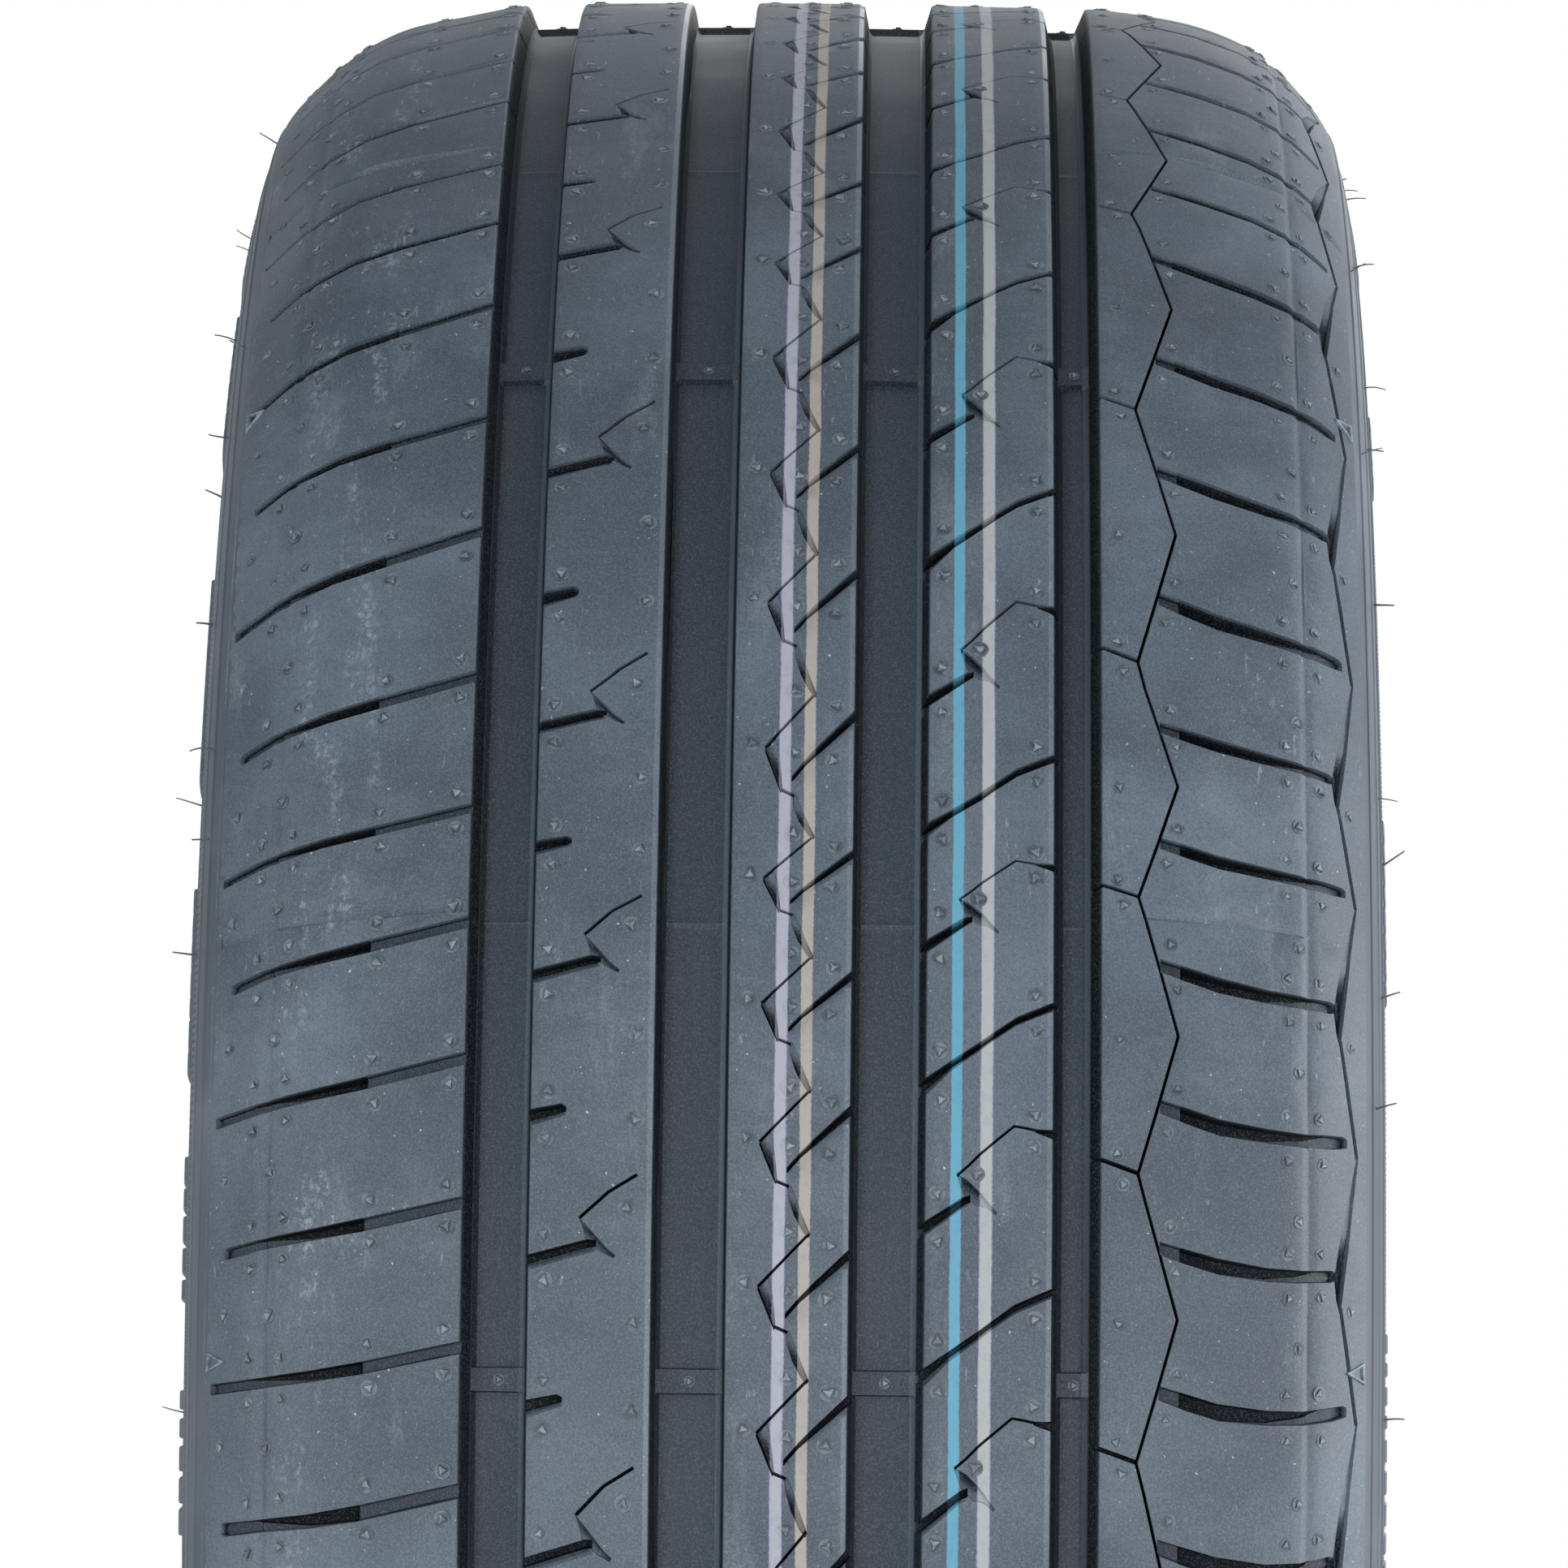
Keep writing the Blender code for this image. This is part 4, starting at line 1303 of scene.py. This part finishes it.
def side_line(side, top, rings):
    """The sidewall's face from the tread's edge down, with raised rings (radius, half width,
    height)."""
    radii = set(np.arange(263.4, top, 1.5).round(3))
    for ring, half, _ in rings:
        radii = {radius for radius in radii if abs(radius - ring) > half + 0.5}
        radii |= {ring - half - 0.25, ring - half, ring + half, ring + half + 0.25}
    curve = SIDE_CURVES[side]
    line = []
    for radius in sorted(radii | {top}, reverse=True):
        lift = max([height for ring, half, height in rings if abs(radius - ring) <= half + 1e-6]
                   + [0.0])
        slope = float(curve(radius + 0.1) - curve(radius - 0.1)) / 0.2
        length = math.hypot(1, slope)
        line.append((float(curve(radius)) + lift / length, radius - lift * slope / length))
    return line


def bar_faces(rows):
    """Faces of a closed bar made of three layers of paired points."""
    top, end = 4 * rows, 2 * rows - 2
    faces = []
    for i in range(0, end, 2):
        faces += [(top + i, top + i + 2, top + i + 3, top + i + 1), (i, i + 1, i + 3, i + 2)]
    for low in (0, 2 * rows):
        high = low + 2 * rows
        for i in range(0, end, 2):
            faces += [(low + i, low + i + 2, high + i + 2, high + i),
                      (low + i + 3, low + i + 1, high + i + 1, high + i + 3)]
        faces += [(low + 1, low, high, high + 1),
                  (low + end, low + end + 1, high + end + 1, high + end)]
    return faces


def raised_bars(pieces, side, spans, inner, outer, height):
    """Closed, bevelled bars standing on the sidewall over spans of degrees."""
    rows = 5
    faces = [face if side > 0 else face[::-1] for face in bar_faces(rows)]
    for span in spans:
        points = []
        for grow, lift in ((0.22, -0.35), (0.0, height * 0.8), (-0.22, height)):
            for i in range(rows):
                radius = inner - grow + (outer - inner + 2 * grow) * i / (rows - 1)
                for degrees, sign in zip(span, (-1, 1)):
                    point, _, round_way, out = side_frame(side, radius, math.radians(degrees))
                    points.append(point + out * lift + round_way * sign * grow)
        pieces.add(points, faces)


def bar_spans(rng, start, end, width, sizes, gaps, spacing=1.18):
    """Spans of bars in groups, going down from start to end degrees."""
    spans, at = [], start
    while at > end:
        for _ in range(rng.choice(sizes)):
            if at - width <= end:
                break
            own = width * rng.choice((1.0, 1.0, 0.72, 1.25))
            spans.append((at - own, at))
            at -= spacing * (own / width * 0.5 + 0.5)
        at -= rng.choice(gaps)
    return spans


def radial_teeth(pieces, side, inner, outer, count):
    """A band of fine radial ribs round the whole sidewall."""
    faces = [(0, 1, 4, 3), (1, 2, 5, 4), (0, 2, 1), (3, 4, 5), (0, 3, 5, 2)]
    faces = [face if side < 0 else face[::-1] for face in faces]
    width = 360.0 / count
    for k in range(count):
        points = []
        for radius in (inner, outer):
            for offset, lift in ((-0.30, -0.25), (0.0, 0.36), (0.30, -0.25)):
                angle = math.radians(360.0 * k / count + width * offset * 1.2)
                point, _, _, out = side_frame(side, radius, angle)
                points.append(point + out * lift)
        pieces.add(points, faces)


def build_sidewall(side, word, rng):
    spec = SIDEWALLS[side]
    rings = [(spec["top_rib"], 0.25, 0.3), (291.2, 0.3, 0.25), (286.4, 0.3, 0.3),
             (269.0, 0.4, 0.4), (266.2, 0.35, 0.35)]
    face = side_line(side, float(skin_radius(spec["edge"])), rings)
    points, quads = revolve(to_side(side, face + SIDEWALL_INNER), 288)
    wall = Pieces()
    wall.add(points, quads.tolist())
    raised_bars(wall, side, bar_spans(rng, **spec["spans"]), *spec["bars"])
    radial_teeth(wall, side, *spec["teeth"])
    raised = np.ones(len(wall.points))
    raised[:len(points)] = 0.0
    new_object(f"sidewall_{word}_rubber", wall.points, wall.faces, SIDE, "side_rubber",
               attribute=("raised", raised), replaces=[f"sidewall_{word}"])


# ---------------------------------------------------------------------------------- rim and beads
# Sections of the right-hand rings
PROTECTOR = [
    (122.25, 262.95), (123.3, 262.0), (124.1, 260.2), (124.4, 258.3), (124.2, 256.2),
    (123.4, 254.9), (121.6, 253.4), (118.2, 251.1), (115.2, 249.2), (112.5, 247.5), (110.6, 246.4),
    (109.2, 245.5), (108.6, 245.05), (107.7, 245.1), (108.6, 247.0), (113.0, 254.6),
    (117.75, 262.85)]
CHAFER_START = (89.3, 229.93)
CHAFER_REST = [
    (103.2, 230.87), (104.8, 231.15), (106.2, 231.85), (107.3, 233.0), (107.9, 234.6),
    (107.9, 237.6), (107.9, 241.2), (107.95, 243.4), (108.25, 244.3), (108.6, 244.85),
    (107.5, 244.85), (106.25, 242.6), (104.7, 232.3), (92.1, 231.6), (90.95, 237.9), (89.3, 236.9)]
TOE = [(84.2, 229.5), (89.1, 229.87), (89.1, 236.5), (84.6, 232.3)]
BEAD_WRAP = [(94.25, 239.6), (94.25, 234.45), (103.1, 234.45), (103.65, 241.0), (103.15, 241.0),
             (102.7, 234.95), (94.75, 234.95), (94.75, 239.6)]
FILLER = [(96.7, 242.0), (103.3, 242.0), (114.9, 262.6), (116.0, 267.6), (111.9, 258.4)]
CUSHION = [(89.6, 305.8), (101.5, 303.9), (103.9, 296.9), (99.8, 300.9)]


def chafer_section():
    """The strip under the bead, with fine ribs on its seat."""
    ribs = []
    for y in np.arange(91.0, 102.6, 2.3):
        seat = 229.5 + 1.4 * (y - 84.2) / 19.3
        ribs += [(y - 0.35, seat), (y, seat - 0.22), (y + 0.35, seat)]
    return [CHAFER_START] + ribs + CHAFER_REST


def bead_core_section():
    """A hexagon with the ripple of its bundled wires."""
    core = []
    for k in range(54):
        angle = 2 * math.pi * k / 54
        hexagon = math.cos(math.pi / 6) / math.cos((angle % (math.pi / 3)) - math.pi / 6)
        radius = hexagon * (1 - 0.055 * (1 - abs(math.cos(angle * 9))))
        core.append((98.7 + 3.25 * radius * math.cos(angle),
                     238.3 + 3.45 * radius * math.sin(angle)))
    return core


def build_sides():
    # name, section, steps, material, slot, replaced node
    rings = [
        ("rim_protector_{}_rubber", PROTECTOR, 240, RIM, "rim_rubber", "rim_protector_{}"),
        ("chafer_{}_strip", chafer_section(), 240, RIM, "rim_rubber", "chafer_{}"),
        ("toe_{}_strip", rounded(TOE, 0.5), 240, RIM, "rim_rubber", "toe_strip_{}"),
        ("bead_wires_{}", bead_core_section(), 192, STEEL, "bead_wire", "bead_core_{}"),
        ("bead_{}_wrap", rounded(BEAD_WRAP, 0.2, 2), 192, TEXTILE, "bead_textile", "bead_wrap_{}"),
        ("filler_{}", rounded(FILLER, 0.7), 192, HARD, "hard_rubber", "bead_filler_{}"),
        ("belt_cushion_{}", rounded(CUSHION, 0.7), 192, BASE, "base_rubber", "belt_edge_wedge_{}"),
        ("edge_cord_{}", crown_ply(84.5, 103.0, 314.59, 1.3), 192, NYLON, "nylon_cord",
         "edge_band_{}")]
    rng = random.Random(41)
    for side, word in ((-1, "left"), (1, "right")):
        build_sidewall(side, word, rng)
        for name, section, steps, look, slot, node in rings:
            add_ring(name.format(word), to_side(side, section), steps, look, slot,
                     node.format(word))


# ---------------------------------------------------------------------------------- vent spews
# Known spews on the upper sidewalls: degrees, radius, length
SPEWS = {
    -1: [(62.0, 290, 4.5), (57.8, 296, 5.0), (52.6, 288, 6.5), (49.4, 297, 4.2), (45.0, 290, 5.4),
         (42.4, 284, 4.6), (34.2, 288, 5.2), (27.2, 293, 4.8), (25.3, 286, 6.2), (22.8, 296, 4.4),
         (18.3, 288, 5.6), (-0.8, 284, 5.2)],
    1: [(59.0, 292, 5.2), (57.0, 296, 4.2), (49.8, 288, 5.8), (44.9, 290, 4.4), (43.2, 296, 5.0),
        (36.1, 287, 5.5), (25.8, 290, 4.6), (23.2, 284, 6.2), (16.9, 288, 5.0), (11.9, 294, 5.6),
        (-0.6, 286, 5.0)]}


def hair(root, direction, sag, length, thickness):
    """A thin tapering thread from its root: points and faces."""
    sides, steps = 5, 6
    direction = direction / np.linalg.norm(direction)
    points, faces = [], []
    for i in range(steps + 1):
        t = i / steps
        centre = root + direction * length * t + sag * t * t
        way = direction * length + sag * 2 * t
        way /= np.linalg.norm(way)
        first = np.cross(way, (0.31, 0.52, 0.79))
        first /= np.linalg.norm(first)
        second = np.cross(way, first)
        radius = thickness * (1.25 - 0.25 * min(1, t * 4)) * (1 - 0.35 * t)
        for j in range(sides):
            angle = 2 * math.pi * j / sides
            points.append(centre + radius * (math.cos(angle) * first + math.sin(angle) * second))
    for i in range(0, steps * sides, sides):
        for j in range(sides):
            k = (j + 1) % sides
            faces.append((i + j, i + k, i + sides + k, i + sides + j))
    return points, faces + [tuple(reversed(range(sides))),
                            tuple(steps * sides + j for j in range(sides))]


def build_spews():
    rng = random.Random(23)
    for side, word in ((-1, "left"), (1, "right")):
        spots = list(SPEWS[side])
        degrees = -8.0
        while degrees > -285.0:
            spots.append((degrees, rng.choice((284, 287, 290, 293, 296)), rng.uniform(3.8, 6.4)))
            degrees -= rng.uniform(3.2, 8.5)
        spews = Pieces()
        for degrees, radius, length in spots:
            point, up, round_way, out = side_frame(side, radius, math.radians(degrees))
            direction = out + up * rng.uniform(0.0, 0.55) + round_way * rng.uniform(-0.45, 0.45)
            sag = round_way * rng.uniform(-1.6, 1.6) + up * rng.uniform(-1.8, 0.8)
            spews.add(*hair(point - out * 0.4, direction, sag, length, rng.uniform(0.16, 0.27)))
        new_object(f"vent_spews_{word}", spews.points, spews.faces, HAIR, "side_rubber", 60.0)


# ---------------------------------------------------------------------------------- casing
# The body ply's right half, from the crown down to the bead, then up round it
PLY_DOWN = [(60.0, 309.84), (86.0, 306.05), (99.0, 299.6), (112.6, 284.0), (115.2, 271.0),
            (110.4, 258.6), (92.1, 239.2)]
PLY_TURN_UP = [(93.0, 233.2), (103.9, 233.5), (105.3, 243.0), (116.4, 262.4), (118.4, 272.2)]


def crown_ply(y0, y1, inner, thick):
    """A layer across the crown whose flat part lies at radius inner, with soft bends."""
    ys = [y0 + 0.25] + [y for y in np.arange(-100, 101, 8.0) if y0 + 1 < y < y1 - 1] + [y1 - 0.25]

    def drop(y):
        near = np.abs(np.linspace(y - 6, y + 6, 13))
        return float(np.mean(0.1457 * np.maximum(0.0, near - 60.0)))
    top = [(y, inner + thick - drop(y)) for y in ys]
    low = [(y, inner - drop(y)) for y in ys]
    bevel = thick * 0.3
    return ([(y0, top[0][1] - bevel)] + top + [(y1, top[-1][1] - bevel), (y1, low[-1][1] + bevel)]
            + low[::-1] + [(y0, low[0][1] + bevel)])


def both_halves(half):
    """An open line across the whole tire, from left to right."""
    return [(-y, radius) for y, radius in reversed(half)] + half


def build_liner():
    path = rounded_path(shift_line(both_halves(PLY_DOWN), 1.45), 9.0, 6)
    inside, outside = shift_line(path, 0.6), shift_line(path, -0.6)
    steps, count = 360, len(outside) + len(inside)
    points, faces = revolve(outside + inside[::-1], steps)
    # thin ridges cross its inner face at an angle
    grid = points.reshape(steps, count, 3)
    step, column = np.indices((steps, count))
    ridge = (column >= len(outside)) & ((step + column // 2) % 6 == 0)
    radius = np.hypot(grid[..., 0], grid[..., 2])
    grid[..., [0, 2]] *= np.where(ridge, (radius - 0.28) / radius, 1.0)[..., None]
    new_object("liner", grid.reshape(-1, 3), faces, LINER, "liner_rubber", 45.0,
               replaces=["inner_liner"])


def build_casing():
    # name, half width, inner radius, thickness, material, slot, replaced node
    for name, half, inner, thick, look, slot, node in (
            ("belt_one", 100, 310.69, 1.1, BELT_A, "belt_cord", "belt_lower"),
            ("belt_two", 94, 312.09, 1.1, BELT_B, "belt_cord", "belt_upper"),
            ("cap_cord", 103, 313.49, 0.8, NYLON, "nylon_cord", "cap_ply"),
            ("base_compound", 84, 314.59, 1.3, BASE, "base_rubber", "tread_base")):
        add_ring(name, crown_ply(-half, half, inner, thick), 216, look, slot, node)
    path = rounded_path(both_halves(PLY_DOWN + PLY_TURN_UP), 7.0)
    add_ring("ply_cord", shift_line(path, -0.5) + shift_line(path, 0.5)[::-1], 216, POLYESTER,
             "polyester_cord", "body_ply")
    build_liner()


# ---------------------------------------------------------------------------------- stage
FLOOR_RADIUS, FLOOR_SIDES, FLOOR_GAP = 40.0, 64, 0.0004
# World light: a level all round, more from +X, +Y and -X, and less from above
AMBIENT, FRONT, RIGHT, BACK, ABOVE = 0.36, 0.52, 0.52, 0.38, 0.28
LIGHTS = [  # name, place, aim, size, watts, tint
    ("key", (2.3, 1.75, -0.01), (0.3, 0.0, 0.0), (1.8, 0.6), 12.0, (0.95, 0.98, 1.0)),
    ("front", (2.9, 0.25, -0.01), (0.3, 0.0, 0.0), (1.6, 0.6), 22.0, (0.93, 0.97, 1.0)),
    ("left", (1.6, -2.2, 0.1), (0.2, 0.0, 0.0), (1.2, 0.8), 24.0, (0.95, 0.98, 1.0)),
    ("side", (-0.1, 2.6, 0.1), (0.0, 0.1, 0.0), (1.8, 1.8), 70.0, (1.0, 1.0, 1.0)),
    ("top", (0.2, 0.0, 2.6), (0.0, 0.0, 0.0), (2.4, 2.4), 6.0, (1.0, 1.0, 1.0)),
    ("back", (-2.6, 0.6, 1.4), (0.0, 0.0, 0.0), (2.0, 2.0), 16.0, (1.0, 1.0, 1.0))]
CAMERA_PLACE = (2.29135, 0.02025, -0.00676)
CAMERA_AXES = [  # the camera's right, up and backward directions
    (-0.009784, 0.999896, 0.010621),
    (0.066327, -0.009949, 0.997748),
    (0.997750, 0.010466, -0.066223)]


def floor_look(n):
    """Pale paper that runs out into the white of the backdrop."""
    paper = n.mix(n.ramp(n.noise(scale=0.6, detail=2.0), at=(0.3, 0.7)),
                  srgb(250, 250, 250), srgb(247, 247, 248))
    bsdf = n.surface(colour=paper, rough=0.9, specular=0.1)
    away = n.add("VectorMath", {0: n.here()}, operation="LENGTH").outputs["Value"]
    mixer = n.add("MixShader", {0: n.ramp(away, at=(0.7, 2.6), smooth=True),
                                1: bsdf.outputs[0], 2: n.add("Emission").outputs[0]})
    output = next(node for node in n.tree.nodes if node.type == "OUTPUT_MATERIAL")
    n.put(output.inputs[0], mixer.outputs[0])


def build_floor():
    mesh = bpy.data.meshes.new("floor")
    angles = [2 * math.pi * i / FLOOR_SIDES for i in range(FLOOR_SIDES)]
    points = [(FLOOR_RADIUS * math.cos(angle), FLOOR_RADIUS * math.sin(angle),
               -CROWN_R * MM - FLOOR_GAP) for angle in angles]
    mesh.from_pydata(points, [], [tuple(range(FLOOR_SIDES))])
    floor = bpy.data.objects.new("floor", mesh)
    bpy.context.scene.collection.objects.link(floor)
    mesh.materials.append(material("floor paper", floor_look))


def build_world():
    """Soft light all round; the camera itself sees plain white."""
    world = bpy.data.worlds.new("studio")
    bpy.context.scene.world = world
    world.use_nodes = True
    world.node_tree.nodes.clear()
    n = Nodes(world.node_tree)
    x, y, z = n.split(n.add("TexCoord").outputs["Generated"])
    front, right, above = (n.either(axis, 0.0) for axis in (x, y, z))
    behind = n.either(n.times(x, -1.0), 0.0)
    level = n.plus(AMBIENT, n.plus(n.times(front, FRONT), n.times(right, RIGHT)))
    level = n.plus(level, n.times(behind, BACK))
    level = n.less(level, n.times(above, ABOVE))
    soft = n.add("Background", {0: (0.93, 0.965, 1.0), 1: level})
    plain = n.add("Background", {0: (1.0, 1.0, 1.0), 1: 1.0})
    seen = n.add("LightPath").outputs["Is Camera Ray"]
    mixer = n.add("MixShader", {0: seen, 1: soft.outputs[0], 2: plain.outputs[0]})
    n.add("OutputWorld", {0: mixer.outputs[0]})


def build_lights():
    for name, place, aim, size, power, tint in LIGHTS:
        light = bpy.data.lights.new(name, "AREA")
        light.shape = "RECTANGLE"
        light.size, light.size_y = size
        light.energy, light.color = power, tint
        obj = bpy.data.objects.new(name, light)
        obj.location = place
        obj.rotation_euler = (Vector(place) - Vector(aim)).to_track_quat("Z", "Y").to_euler()
        bpy.context.scene.collection.objects.link(obj)


def build_camera():
    scene = bpy.context.scene
    camera = bpy.data.cameras.new("camera")
    camera.lens, camera.sensor_width, camera.clip_end = 224.446, 36.0, 100.0
    obj = bpy.data.objects.new("camera", camera)
    obj.matrix_world = (Matrix.Translation(CAMERA_PLACE)
                        @ Matrix(CAMERA_AXES).transposed().to_4x4())
    scene.collection.objects.link(obj)
    scene.camera = obj


build_tread()
build_vents()
build_wear_marks()
build_sides()
build_spews()
build_casing()
bpy.context.scene.view_settings.view_transform = "Standard"
build_floor()
build_world()
build_lights()
build_camera()
